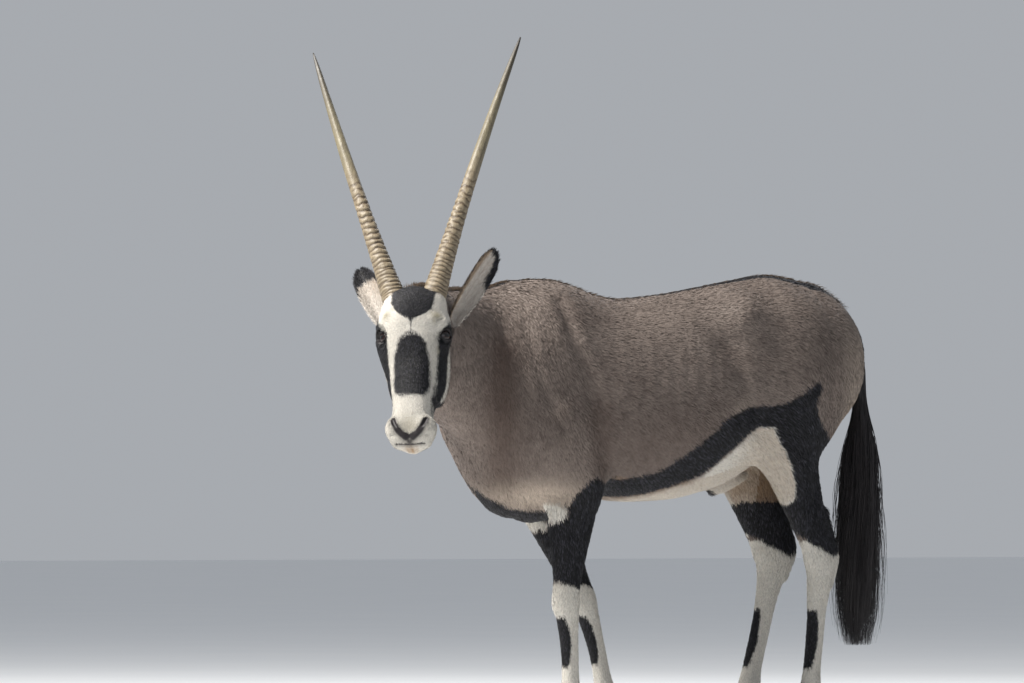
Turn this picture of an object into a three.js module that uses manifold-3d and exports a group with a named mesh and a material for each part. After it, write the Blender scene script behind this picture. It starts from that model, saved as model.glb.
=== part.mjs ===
// Gemsbok (Oryx gazella), adult male, standing, head turned towards its left.
// Millimetres, +Z up, the animal faces -X, its left side faces -Y, hooves on z = 0,
// origin under the middle of its bounding box.
import * as THREE from 'three';
import Module from 'manifold-3d';

const wasm = await Module();
wasm.setup();

// ------------------------------------------------------------------ sizes
// Shapes are worked out in metres in the animal's own frame:
// f = forwards, l = to its left, u = up. MM turns that into millimetres.
const MM = 1000;
const CENTRE_F = 0.16342;       // frame point that becomes x = 0
const CENTRE_L = 0.10170;       // frame point that becomes y = 0
const CUT = 0.00015;            // half the width of the cut between two pieces
const CLEAR = 0.0003;           // gap left round a piece set into another
const WITHERS = 1.157;          // height of the back over the shoulders
const CROUP = 1.191;            // height of the back over the hips
const CORONET = 0.048;          // height of the top of the hooves
const EYE_RADIUS = 0.0205;
const HORN_BASE = 0.0270;       // horn radius at the skull
const HORN_RINGS = 16;

// ------------------------------------------------------------------ small maths
const { sin, cos, sqrt, abs, min, max, PI, atan2, floor, hypot } = Math;
const rad = (d) => (d * PI) / 180;
const add = (a, b) => [a[0] + b[0], a[1] + b[1], a[2] + b[2]];
const sub = (a, b) => [a[0] - b[0], a[1] - b[1], a[2] - b[2]];
const mul = (a, k) => [a[0] * k, a[1] * k, a[2] * k];
const dot = (a, b) => a[0] * b[0] + a[1] * b[1] + a[2] * b[2];
const cross = (a, b) => [a[1] * b[2] - a[2] * b[1], a[2] * b[0] - a[0] * b[2], a[0] * b[1] - a[1] * b[0]];
const unit = (a) => mul(a, 1 / hypot(...a));
const mix = (a, b, t) => a.map((v, i) => v + (b[i] - v) * t);
const clamp = (x, a, b) => min(b, max(a, x));
const smin = (a, b, k) => { const h = max(k - abs(a - b), 0) / k; return min(a, b) - h * h * k * 0.25; };
const smax = (a, b, k) => -smin(-a, -b, k);

// smooth curve through a few named stations, without overshoot
function curve(x, xs, ys) {
  const n = xs.length;
  x = clamp(x, xs[0], xs[n - 1]);
  let i = 0;
  while (i < n - 2 && x >= xs[i + 1]) i++;
  const slope = (j) => (ys[j + 1] - ys[j]) / (xs[j + 1] - xs[j]);
  const m = (j) => {
    if (j === 0) return slope(0);
    if (j === n - 1) return slope(n - 2);
    const a = slope(j - 1), b = slope(j);
    return a * b <= 0 ? 0 : (2 * a * b) / (a + b);
  };
  const h = xs[i + 1] - xs[i], t = (x - xs[i]) / h, t2 = t * t, t3 = t2 * t;
  return (2 * t3 - 3 * t2 + 1) * ys[i] + (t3 - 2 * t2 + t) * h * m(i) + (3 * t2 - 2 * t3) * ys[i + 1] + (t3 - t2) * h * m(i + 1);
}
// rows of numbers, smoothed, n steps to a span
function spline(rows, n) {
  const P = [rows[0].map((v, i) => 2 * v - rows[1][i]), ...rows, rows.at(-1).map((v, i) => 2 * v - rows.at(-2)[i])];
  const out = [];
  for (let i = 1; i < P.length - 2; i++) for (let j = 0; j < n; j++) {
    const t = j / n, t2 = t * t, t3 = t2 * t;
    out.push(P[i].map((_, c) => 0.5 * (2 * P[i][c] + (P[i + 1][c] - P[i - 1][c]) * t + (2 * P[i - 1][c] - 5 * P[i][c] + 4 * P[i + 1][c] - P[i + 2][c]) * t2 + (3 * P[i][c] - P[i - 1][c] - 3 * P[i + 1][c] + P[i + 2][c]) * t3)));
  }
  out.push(P.at(-2));
  return out;
}
// distance-like value of an egg of radii r at q
function egg(q0, q1, q2, r0, r1, r2) {
  const a = q0 / r0, b = q1 / r1, c = q2 / r2;
  const k1 = sqrt(a * a + b * b + c * c);
  const k2 = sqrt((a / r0) ** 2 + (b / r1) ** 2 + (c / r2) ** 2);
  return (k1 * (k1 - 1)) / max(k2, 1e-6);
}
const axes = (long, side) => { const e = unit(long), s = unit(sub(side, mul(e, dot(side, e)))); return [e, cross(s, e), s]; };
function ell(p, c, r, A) {
  const q = sub(p, c);
  return A ? egg(dot(q, A[0]), dot(q, A[1]), dot(q, A[2]), ...r) : egg(...q, ...r);
}
// a bent tube of oval section: rows of f, l, u, half width across, half width along ref
class Limb {
  constructor(rows, ref, n = 6) {
    this.T = spline(rows, n);
    const N = this.T.length, C = (i) => this.T[clamp(i, 0, N - 1)].slice(0, 3);
    this.dir = []; this.step = []; this.up = []; this.side = [];
    for (let i = 0; i < N; i++) {
      const d = mul(sub(C(i + 1), C(i - 1)), i === 0 || i === N - 1 ? 1 : 0.5);
      const e = unit(d), up = unit(sub(ref, mul(e, dot(ref, e))));
      this.dir.push(e); this.step.push(hypot(...d)); this.up.push(up); this.side.push(cross(up, e));
    }
    const m = max(...this.T.map((r) => max(r[3], r[4]))) + 0.07;
    this.lo = [0, 1, 2].map((k) => min(...this.T.map((r) => r[k])) - m);
    this.hi = [0, 1, 2].map((k) => max(...this.T.map((r) => r[k])) + m);
  }
  at(p) {
    const out = hypot(...[0, 1, 2].map((k) => max(this.lo[k] - p[k], p[k] - this.hi[k], 0)));
    if (out > 0) return out + 0.06;
    let best = Infinity, i = 0;
    for (let j = 0; j < this.T.length; j++) {
      const r = this.T[j], d = (p[0] - r[0]) ** 2 + (p[1] - r[1]) ** 2 + (p[2] - r[2]) ** 2;
      if (d < best) { best = d; i = j; }
    }
    const s = dot(sub(p, this.T[i]), this.dir[i]) / this.step[i], n = this.T.length;
    const x = clamp(i + s, 0, n - 1), j = min(floor(x), n - 2), w = x - j;
    const R = mix(this.T[j], this.T[j + 1], w), up = unit(mix(this.up[j], this.up[j + 1], w)), sd = unit(mix(this.side[j], this.side[j + 1], w)), e = unit(mix(this.dir[j], this.dir[j + 1], w));
    const q = sub(p, R), over = i + s < 0 || i + s > n - 1;
    return egg(over ? dot(q, e) : 0, dot(q, sd), dot(q, up), min(R[3], R[4]), R[3], R[4]);
  }
}

// ------------------------------------------------------------------ trunk
// stations along the back: top line, bottom line, half width, height of the widest place
const TF = [-0.40, -0.36, -0.29, -0.20, -0.10, 0.00, 0.10, 0.145, 0.20, 0.26, 0.32, 0.38, 0.42];
const T_TOP = [1.175, 1.184, CROUP, 1.176, 1.157, 1.139, 1.127, 1.1245, 1.133, 1.146, 1.155, WITHERS, 1.150];
const T_BOTTOM = [0.785, 0.770, 0.745, 0.672, 0.632, 0.613, 0.609, 0.611, 0.618, 0.600, 0.568, 0.558, 0.568];
const T_HALF = [0.168, 0.176, 0.188, 0.205, 0.217, 0.222, 0.218, 0.215, 0.210, 0.203, 0.192, 0.178, 0.168];
const T_MID = [0.955, 0.945, 0.930, 0.880, 0.850, 0.835, 0.830, 0.830, 0.830, 0.830, 0.830, 0.835, 0.845];
function barrel(p) {
  const f = p[0], c = curve(f, TF, T_MID), v = p[2] - c;
  const h = v > 0 ? curve(f, TF, T_TOP) - c : c - curve(f, TF, T_BOTTOM);
  const over = f > TF.at(-1) ? f - TF.at(-1) : f < TF[0] ? f - TF[0] : 0;
  return egg(over, p[1], v, f > 0 ? 0.165 : 0.172, curve(f, TF, T_HALF), h);
}
const MUSCLES = [1, -1].flatMap((s) => [
  // centre, radii, long axis, blend: shoulder blade, upper arm, haunch, hip bone, buttock
  [[0.425, 0.105 * s, 0.925], [0.205, 0.115, 0.072], axes([-0.42, -0.12 * s, 1], [0, s, 0]), 0.06],
  [[0.400, 0.118 * s, 0.775], [0.155, 0.110, 0.064], axes([0.55, 0.05 * s, 0.6], [0, s, 0]), 0.06],
  [[-0.325, 0.095 * s, 0.915], [0.210, 0.150, 0.098], axes([0.12, 0.02 * s, 1], [0, s, 0]), 0.06],
  [[-0.165, 0.115 * s, 1.060], [0.060, 0.050, 0.055], null, 0.08],
  [[-0.462, 0.070 * s, 0.965], [0.058, 0.065, 0.110], null, 0.06],
]);
const BREAST = [[0.465, 0, 0.775], [0.105, 0.110, 0.100]];
const SHEATH = [[-0.195, 0, 0.660], [0.066, 0.024, 0.020], axes([0.9, 0, -0.42], [0, 0, 1])];
const SCROTUM = [[-0.345, 0, 0.735], [0.042, 0.036, 0.055]];

// ------------------------------------------------------------------ neck, legs and tail dock
const NECK = new Limb([
  [0.36, 0.000, 0.930, 0.165, 0.220], [0.50, 0.022, 0.945, 0.135, 0.205], [0.62, 0.075, 0.968, 0.112, 0.175],
  [0.720, 0.140, 0.990, 0.098, 0.150], [0.795, 0.207, 1.010, 0.088, 0.130], [0.848, 0.265, 1.020, 0.078, 0.112]], [-0.25, -0.05, 1]);
// from shoulder or hip down: joint, bone and joint again to the coronet
const FORE_LEFT = new Limb([
  [0.390, 0.135, 0.80, 0.070, 0.105], [0.318, 0.132, 0.665, 0.060, 0.078], [0.322, 0.124, 0.59, 0.050, 0.068], [0.325, 0.118, 0.52, 0.0400, 0.0560],
  [0.327, 0.113, 0.44, 0.0315, 0.0400], [0.328, 0.110, 0.395, 0.0300, 0.0345], [0.329, 0.109, 0.357, 0.0325, 0.0360], [0.325, 0.109, 0.315, 0.0250, 0.0295],
  [0.320, 0.109, 0.25, 0.0205, 0.0245], [0.317, 0.109, 0.175, 0.0200, 0.0235], [0.320, 0.110, 0.125, 0.0250, 0.0290], [0.334, 0.110, 0.088, 0.0215, 0.0245], [0.346, 0.110, 0.045, 0.0265, 0.0310]], [1, 0, 0.1]);
const FORE_RIGHT = new Limb([
  [0.375, -0.135, 0.80, 0.070, 0.105], [0.285, -0.132, 0.660, 0.060, 0.078], [0.258, -0.125, 0.59, 0.050, 0.068], [0.228, -0.118, 0.52, 0.0400, 0.0560],
  [0.195, -0.114, 0.44, 0.0315, 0.0400], [0.177, -0.112, 0.400, 0.0300, 0.0345], [0.163, -0.111, 0.363, 0.0325, 0.0360], [0.147, -0.110, 0.320, 0.0250, 0.0295],
  [0.128, -0.109, 0.255, 0.0205, 0.0245], [0.110, -0.109, 0.180, 0.0200, 0.0235], [0.102, -0.110, 0.128, 0.0250, 0.0290], [0.114, -0.110, 0.090, 0.0215, 0.0245], [0.126, -0.110, 0.045, 0.0265, 0.0310]], [1, 0, 0.3]);
const TOE_OUT = rad(14);
const HIND_LEFT = new Limb([
  [-0.295, 0.100, 0.93, 0.090, 0.115], [-0.282, 0.118, 0.80, 0.080, 0.118], [-0.318, 0.122, 0.69, 0.056, 0.082], [-0.352, 0.119, 0.60, 0.040, 0.062],
  [-0.388, 0.115, 0.515, 0.031, 0.050], [-0.401, 0.113, 0.463, 0.0305, 0.047], [-0.401, 0.114, 0.415, 0.0270, 0.0370], [-0.392, 0.116, 0.345, 0.0225, 0.0275],
  [-0.383, 0.118, 0.26, 0.0210, 0.0255], [-0.374, 0.120, 0.185, 0.0210, 0.0255], [-0.368, 0.121, 0.135, 0.0260, 0.0300], [-0.352, 0.123, 0.092, 0.0220, 0.0250], [-0.338, 0.125, 0.045, 0.0265, 0.0310]],
  [cos(TOE_OUT), sin(TOE_OUT), 0.15]);
const HIND_RIGHT = new Limb([
  [-0.295, -0.100, 0.93, 0.090, 0.115], [-0.282, -0.118, 0.80, 0.080, 0.118], [-0.320, -0.122, 0.695, 0.058, 0.084], [-0.354, -0.119, 0.605, 0.042, 0.066],
  [-0.383, -0.115, 0.53, 0.034, 0.057], [-0.393, -0.113, 0.480, 0.032, 0.052], [-0.391, -0.114, 0.430, 0.0270, 0.0385], [-0.377, -0.116, 0.36, 0.0225, 0.0275],
  [-0.357, -0.118, 0.27, 0.0210, 0.0255], [-0.338, -0.120, 0.19, 0.0210, 0.0255], [-0.328, -0.121, 0.138, 0.0260, 0.0300], [-0.312, -0.123, 0.093, 0.0220, 0.0250], [-0.298, -0.125, 0.045, 0.0265, 0.0310]],
  [cos(TOE_OUT), -sin(TOE_OUT), 0.15]);
// heel bone and its tendon behind the hock
function heel(side, c) {
  const o = (d, z) => [c[0] - cos(TOE_OUT) * d, c[1] - sin(TOE_OUT) * side * d, c[2] + z];
  return new Limb([[...o(0.018, 0.125), 0.009, 0.012], [...o(0.036, 0.060), 0.0105, 0.014], [...o(0.044, 0.002), 0.015, 0.020], [...o(0.028, -0.060), 0.013, 0.014]], [1, 0, 0.2], 5);
}
const HEEL_LEFT = heel(1, [-0.399, 0.114, 0.468]);
const HEEL_RIGHT = heel(-1, [-0.394, -0.113, 0.485]);
const DOCK_ROWS = [[-0.500, 0, 1.090, 0.042, 0.036], [-0.548, 0, 1.062, 0.029, 0.025], [-0.576, 0, 1.012, 0.022, 0.022], [-0.586, 0, 0.95, 0.018, 0.018], [-0.589, 0, 0.87, 0.0155, 0.0155], [-0.590, 0, 0.80, 0.014, 0.014]];
const DOCK = new Limb(DOCK_ROWS, [1, 0, 0]);

function torso(p) {
  let d = barrel(p);
  for (const [c, r, A, k] of MUSCLES) d = smin(d, ell(p, c, r, A), k);
  d = smin(d, ell(p, ...BREAST), 0.05);
  d = smin(d, NECK.at(p), 0.07);
  return d;
}
const legs = (p) => min(smin(HIND_LEFT.at(p), HEEL_LEFT.at(p), 0.02), smin(HIND_RIGHT.at(p), HEEL_RIGHT.at(p), 0.02), FORE_LEFT.at(p), FORE_RIGHT.at(p));
function body(p) {
  let d = smin(torso(p), legs(p), 0.04);
  d = smin(d, ell(p, ...SHEATH), 0.03);
  return smin(d, ell(p, ...SCROTUM), 0.02);
}

// ------------------------------------------------------------------ head
// its own frame: x to the animal's left, y out of the face, z up the face; the middle of
// the brow at eye height is the origin. The nose points HEAD_YAW off the line at which
// the head looks back over the left shoulder, and HEAD_TILT leans the face up and forwards.
const LOOK = rad(62), HEAD_YAW = rad(9.5), HEAD_TILT = rad(20), HEAD_ROLL = rad(2.0);
const BROW = [0.877, 0.330, 1.015];
const nose = [cos(LOOK - HEAD_YAW), sin(LOOK - HEAD_YAW), 0];
const hx0 = [-nose[1], nose[0], 0];
const hz0 = add(mul(nose, -sin(HEAD_TILT)), [0, 0, cos(HEAD_TILT)]);
const HX = add(mul(hx0, cos(HEAD_ROLL)), mul(hz0, sin(HEAD_ROLL)));
const HY = add(mul(nose, cos(HEAD_TILT)), [0, 0, sin(HEAD_TILT)]);
const HZ = sub(mul(hz0, cos(HEAD_ROLL)), mul(hx0, sin(HEAD_ROLL)));
const toHead = (p) => { const q = sub(p, BROW); return [dot(q, HX), dot(q, HY), dot(q, HZ)]; };
const headDir = (q) => add(add(mul(HX, q[0]), mul(HY, q[1])), mul(HZ, q[2]));
const fromHead = (q) => add(BROW, headDir(q));
// stations from muzzle to crown: front, back, half width, place of the width
const H_Z = [-0.262, -0.245, -0.225, -0.205, -0.185, -0.160, -0.125, -0.09, -0.05, -0.02, 0.02, 0.05, 0.08, 0.105];
const H_FRONT = [-0.016, -0.006, -0.002, -0.001, 0, 0, 0, 0.001, 0.002, 0.003, 0.003, -0.001, -0.010, -0.024];
const H_BACK = [-0.082, -0.090, -0.098, -0.104, -0.112, -0.124, -0.146, -0.170, -0.192, -0.200, -0.198, -0.188, -0.172, -0.155];
const H_HALF = [0.0500, 0.0575, 0.0595, 0.0535, 0.0505, 0.0535, 0.0600, 0.0655, 0.0720, 0.0765, 0.0780, 0.0760, 0.0710, 0.0640];
const H_MID = [-0.045, -0.046, -0.048, -0.050, -0.056, -0.066, -0.080, -0.090, -0.095, -0.092, -0.085, -0.080, -0.080, -0.085];
const EYE = [0.0660, -0.0500, 0.0125];
function head(q) {
  const [x, y, z] = q, w = curve(z, H_Z, H_HALF), c = curve(z, H_Z, H_MID), v = y - c;
  const h = v > 0 ? curve(z, H_Z, H_FRONT) - c : c - curve(z, H_Z, H_BACK);
  const over = z > H_Z.at(-1) ? z - H_Z.at(-1) : z < H_Z[0] ? z - H_Z[0] : 0, rz = z > 0 ? 0.045 : 0.020;
  const a = abs(x) / w, b = abs(v) / h, cc = abs(over) / rz, n = v > 0 ? 2.5 : 2.15;
  let k = (a ** n + b ** n) ** (1 / n);
  k = hypot(k, cc);
  const g = hypot(a / w, b / h, cc / rz);
  let d = (k * (k - 1)) / max(g, 1e-6);
  const s = [abs(x), y, z];
  d = smin(d, ell(s, [0.060, -0.055, 0.018], [0.0285, 0.036, 0.038]), 0.020);   // orbit
  d = smin(d, ell(s, [0.056, -0.050, 0.050], [0.026, 0.030, 0.034]), 0.022);    // brow
  d = smin(d, ell(s, [0.042, -0.125, -0.055], [0.034, 0.062, 0.085]), 0.025);   // cheek
  d = smin(d, ell(s, [0.043, -0.045, 0.098], [0.033, 0.033, 0.034]), 0.016);    // horn root
  d = smin(d, ell(s, [0, -0.105, 0.095], [0.062, 0.060, 0.050]), 0.03);         // crown
  d = smin(d, ell(s, [0.034, -0.030, -0.232], [0.029, 0.030, 0.030]), 0.014);   // nostril wing
  d = smin(d, ell(s, [0.018, -0.040, -0.256], [0.030, 0.034, 0.019]), 0.012);   // upper lip
  d = smin(d, ell(s, [0, -0.062, -0.264], [0.0255, 0.032, 0.019]), 0.008);      // chin
  return smax(d, -ell(s, [0.0955, -0.045, 0.0125], [0.0165, 0.024, 0.0175]), 0.010); // the eye's hollow
}
const whole = (p) => smin(body(p), head(toHead(p)), 0.03);

// ------------------------------------------------------------------ lofting
// distance from c along dir to the first way out of field
function reach(field, c, dir, far = 0.6, step = 0.006) {
  let a = 0, b = far;
  if (field(c) > 0) return 0.001;
  for (let r = step; r < far; r += step) { if (field(add(c, mul(dir, r))) > 0) { a = r - step; b = r; break; } a = r; }
  if (a + step >= far) return far;
  for (let i = 0; i < 14; i++) { const m = (a + b) / 2; field(add(c, mul(dir, m))) > 0 ? (b = m) : (a = m); }
  return (a + b) / 2;
}
const ringOf = (field, c, U, V, n, grow = 0) => Array.from({ length: n }, (_, k) => {
  const t = (2 * PI * k) / n, d = add(mul(U, cos(t)), mul(V, sin(t)));
  return add(c, mul(d, reach(field, c, d) + grow));
});
// closed solid from rings of equal count; ends closed to a middle point
function loft(rings, start, end) {
  const n = rings[0].length, P = rings.flat(), T = [];
  for (let i = 0; i + 1 < rings.length; i++) for (let k = 0; k < n; k++) {
    const a = i * n + k, b = i * n + ((k + 1) % n), c = a + n, d = b + n;
    T.push([a, b, d], [a, d, c]);
  }
  const mean = (r) => mul(r.reduce(add), 1 / r.length);
  const s = P.length, e = s + 1, o = (rings.length - 1) * n;
  P.push(start ?? mean(rings[0]), end ?? mean(rings.at(-1)));
  for (let k = 0; k < n; k++) { T.push([s, (k + 1) % n, k]); T.push([e, o + k, o + ((k + 1) % n)]); }
  return facingOut(P, T);
}
function facingOut(P, T) {
  let v = 0;
  for (const [a, b, c] of T) v += dot(P[a], cross(P[b], P[c]));
  return { P, T: v < 0 ? T.map(([a, b, c]) => [a, c, b]) : T };
}
const toModel = (p) => [-(p[0] - CENTRE_F) * MM, -(p[1] - CENTRE_L) * MM, p[2] * MM];
function solid({ P, T }) {
  const v = new Float32Array(P.flatMap(toModel));
  return new wasm.Manifold(new wasm.Mesh({ numProp: 3, vertProperties: v, triVerts: new Uint32Array(T.flat()) }));
}
// box with edges along e[0..2], from lo to hi along each, in the animal's frame
function block(lo, hi, o = [0, 0, 0], e = [[1, 0, 0], [0, 1, 0], [0, 0, 1]]) {
  const P = [];
  for (const i of [0, 1]) for (const j of [0, 1]) for (const k of [0, 1]) {
    const c = [i ? hi[0] : lo[0], j ? hi[1] : lo[1], k ? hi[2] : lo[2]];
    P.push(add(o, add(add(mul(e[0], c[0]), mul(e[1], c[1])), mul(e[2], c[2]))));
  }
  const T = [[0, 1, 3], [0, 3, 2], [4, 6, 7], [4, 7, 5], [0, 4, 5], [0, 5, 1], [2, 3, 7], [2, 7, 6], [0, 2, 6], [0, 6, 4], [1, 5, 7], [1, 7, 3]];
  return solid(facingOut(P, T));
}
// an egg of radii r across, out of and up the face
function ball(c, [rx, ry, rz], nu = 12, nv = 8) {
  const rings = [];
  for (let j = 1; j < nv; j++) {
    const t = (PI * j) / nv;
    rings.push(Array.from({ length: nu }, (_, k) => add(c, headDir([rx * cos(t), ry * sin(t) * cos((2 * PI * k) / nu), rz * sin(t) * sin((2 * PI * k) / nu)]))));
  }
  return loft(rings, add(c, headDir([rx, 0, 0])), add(c, headDir([-rx, 0, 0])));
}
const group = new THREE.Group();
const COLOURS = {
  coat: [0x8f8072, 0.85], dark: [0x17151a, 0.75], white: [0xe9e4da, 0.85], horn: [0x8c7a5e, 0.55], hoof: [0x1d1a18, 0.45], eye: [0x120a08, 0.08], ear: [0xb9ab9a, 0.85],
};
function node(name, man, look) {
  const m = man.getMesh(), g = new THREE.BufferGeometry();
  g.setAttribute('position', new THREE.BufferAttribute(new Float32Array(m.vertProperties), 3));
  g.setIndex(new THREE.BufferAttribute(new Uint32Array(m.triVerts), 1));
  g.computeVertexNormals();
  const [color, roughness] = COLOURS[look];
  const mesh = new THREE.Mesh(g, new THREE.MeshStandardMaterial({ color, roughness, metalness: 0 }));
  mesh.name = name;
  group.add(mesh);
}
const UP = [0, 0, 1];

// ------------------------------------------------------------------ trunk and neck
// upright rings round the line of the back, turning with the neck: f, l, u, turn
const N_TRUNK = 28, N_NECK = 22;
const RUMP_MID = 0.955;
const rumpRings = [-0.566, -0.552, -0.530, -0.500, -0.465, -0.42, -0.375, -0.33, -0.285, -0.235, -0.175, -0.11, -0.045, 0.02, 0.08, 0.14, 0.19, 0.235, 0.28, 0.325, 0.37]
  .map((f) => [f, 0, f < -0.45 ? RUMP_MID : f < -0.2 ? 0.90 : 0.87, 0]);
const shoulderRings = [[0.415, 0.004, 0.88, 3], [0.460, 0.014, 0.89, 9], [0.505, 0.026, 0.90, 15], [0.550, 0.044, 0.91, 21]];
const NECK_CUT = [0.592, 0.063, 0.93, 27];
const FORE_CUT = 0.572, FORE_WALL = 0.052, HIND_CUT = 0.700, HIND_FRONT = -0.238;
// flesh of the trunk down to where the legs leave it
const stumps = (p) => {
  let d = whole(p);
  const out = abs(p[1]) - 0.035;
  const low = p[0] > 0 ? 0.546 + clamp(out, 0, 0.03) : HIND_CUT - 0.055 + clamp(out, 0, 0.03) * 2.2 - 0.9 * max(0, p[0] + 0.30);
  return smax(d, low - p[2], 0.004);
};
const turned = (row, field, n, grow, shift = 0) => {
  const t = rad(row[3]), N = [cos(t), sin(t), 0], U = [-sin(t), cos(t), 0];
  return ringOf(field, add(row.slice(0, 3), mul(N, shift)), U, UP, n, grow);
};
function trunkLoft(grow) {
  const rows = [...rumpRings, ...shoulderRings];
  const rings = rows.map((r) => turned(r, stumps, N_TRUNK, grow));
  rings.push(turned(NECK_CUT, stumps, N_TRUNK, grow, -CUT));
  const c = [-0.45, 0, RUMP_MID], back = add(c, [-(reach(stumps, c, [-1, 0, 0]) + grow), 0, 0]);
  return solid(loft(rings, back));
}
let trunk = trunkLoft(0);
for (const s of [1, -1]) {
  const l0 = s > 0 ? FORE_WALL - CUT : -0.40, l1 = s > 0 ? 0.40 : -(FORE_WALL - CUT);
  trunk = trunk.subtract(block([0.02, l0, 0.3], [0.52, l1, FORE_CUT + CUT]));
}
trunk = trunk.subtract(block([-0.70, -0.4, 0.3], [HIND_FRONT - CUT, 0.4, HIND_CUT + CUT]));

// level rings down a leg, kept to its own side by wall
const N_LEG = 12;
function levels(limb, heights, wall) {
  const F = (p) => { const d = whole(p); return wall ? max(d, wall(p)) : d; };
  return heights.map((u) => {
    let i = limb.T.findIndex((r) => r[2] < u); if (i < 1) i = limb.T.length - 1;
    const a = limb.T[i - 1], b = limb.T[i], w = clamp((a[2] - u) / (a[2] - b[2]), 0, 1.2), c = mix(a, b, w);
    return ringOf(F, [c[0], c[1], u], [1, 0, 0], [0, 1, 0], N_LEG);
  });
}
const LEGS = {
  foreleg_left: { limb: FORE_LEFT, side: 1, top: FORE_CUT, knee: 0.392, toe: 0 },
  foreleg_right: { limb: FORE_RIGHT, side: -1, top: FORE_CUT, knee: 0.398, toe: 0 },
  hindleg_left: { limb: HIND_LEFT, side: 1, top: HIND_CUT, knee: 0.425, toe: 8 },
  hindleg_right: { limb: HIND_RIGHT, side: -1, top: HIND_CUT, knee: 0.440, toe: 8 },
};
const legWall = (name, side) => name.startsWith('fore') ? (p) => FORE_WALL + CUT - p[1] * side : (p) => p[0] - (HIND_FRONT - CUT);
// short stumps that carry the legs on the trunk
for (const [name, g] of Object.entries(LEGS)) {
  const wall = legWall(name, g.side), inside = (p) => max(wall(p), 0.012 - p[1] * g.side, g.limb.at(p) - 0.008);
  const up = g.top + CUT, rise = name.startsWith('fore') ? [0.060, 0.022] : [0.060, 0.024];
  trunk = trunk.add(solid(loft([...levels(g.limb, rise.map((r) => up + r), inside), ...levels(g.limb, [up], wall)])));
}
node('trunk', trunk, 'coat');

const HEAD_CUT = [0.772, 0.185, 1.000, 45];
const neckRows = [NECK_CUT, [0.625, 0.080, 0.94, 30.5], [0.655, 0.098, 0.952, 33.5], [0.685, 0.118, 0.965, 37], [0.715, 0.139, 0.978, 40], [0.745, 0.162, 0.990, 43], HEAD_CUT];
node('neck', solid(loft(neckRows.map((r, i) => turned(r, whole, N_NECK, 0, i === 0 ? CUT : i === neckRows.length - 1 ? -CUT : 0)))), 'coat');

// ------------------------------------------------------------------ head
const N_HEAD = 24;
const cutN = [cos(rad(HEAD_CUT[3])), sin(rad(HEAD_CUT[3])), 0], cutU = [-cutN[1], cutN[0], 0];
const headFlesh = (q) => max(whole(fromHead(q)), -(dot(sub(fromHead(q), HEAD_CUT), cutN) + 0.012));
const headRows = [-0.279, -0.272, -0.263, -0.252, -0.239, -0.225, -0.210, -0.194, -0.175, -0.152, -0.127, -0.100, -0.073, -0.048, -0.028, -0.009, 0.010, 0.030, 0.050, 0.070, 0.090, 0.108, 0.122, 0.131];
function headLoft(grow) {
  const mid = (z) => [0, curve(z, H_Z, H_MID) * (z < -0.25 ? 1.2 : 1), z];
  const rings = headRows.map((z) => ringOf(headFlesh, mid(z), [1, 0, 0], [0, 1, 0], N_HEAD, grow).map(fromHead));
  const low = mid(-0.262), high = [0, -0.085, 0.10];
  const bottom = fromHead(add(low, [0, 0, -(reach(headFlesh, low, [0, 0, -1]) + grow)]));
  const top = fromHead(add(high, [0, 0, max(reach(headFlesh, high, [0, 0, 1]), 0.0325) + grow]));
  return solid(loft(rings, bottom, top));
}
const behind = block([-0.6, -0.6, -0.6], [CUT, 0.6, 0.6], HEAD_CUT.slice(0, 3), [cutN, cutU, UP]);
const headFull = headLoft(0).subtract(behind);
const headGrown = headLoft(CLEAR);
let headPiece = headFull;
for (const s of [1, -1]) {
  const at = (dx, dy) => fromHead([(EYE[0] + dx) * s, EYE[1] + dy, EYE[2]]), r = EYE_RADIUS + CLEAR;
  headPiece = headPiece.subtract(solid(ball(at(0, 0), [r, r, r])));
  headPiece = headPiece.subtract(solid(ball(at(0.0215, 0.003), [0.013, 0.0165, 0.0115])));   // between the lids
}
node('head', headPiece, 'white');
for (const s of [1, -1]) node(s > 0 ? 'eye_left' : 'eye_right', solid(ball(fromHead([EYE[0] * s, EYE[1], EYE[2]]), [EYE_RADIUS, EYE_RADIUS, EYE_RADIUS])), 'eye');

// horns: nearly straight, ringed over the lower 55 %, smooth to the tip
const HORN = {
  left: { root: [0.0370, -0.048, 0.090], tip: [0.2213, -0.1897, 0.8692], bow: [-0.0045, 0.011, 0] },
  right: { root: [-0.0440, -0.048, 0.090], tip: [-0.2933, -0.1236, 0.8206], bow: [-0.0045, 0.010, 0] },
};
const HORN_T = [0, 0.05, 0.12, 0.25, 0.38, 0.52, 0.66, 0.80, 0.90, 0.96, 1];
const HORN_R = [1.13, 1.09, 0.955, 0.775, 0.645, 0.56, 0.46, 0.345, 0.25, 0.16, 0.05];
function hornRing(h, t, n, r) {
  const A = mix(h.root, h.tip, t), c = add(A, mul(h.bow, 4 * t * (1 - t)));
  const e = unit(add(sub(h.tip, h.root), mul(h.bow, 4 * (1 - 2 * t)))), U = unit(sub([1, 0, 0], mul(e, e[0]))), V = cross(e, U);
  return Array.from({ length: n }, (_, k) => { const a = (2 * PI * k) / n; return fromHead(add(c, add(mul(U, r * cos(a)), mul(V, r * 1.06 * sin(a))))); });
}
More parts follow.
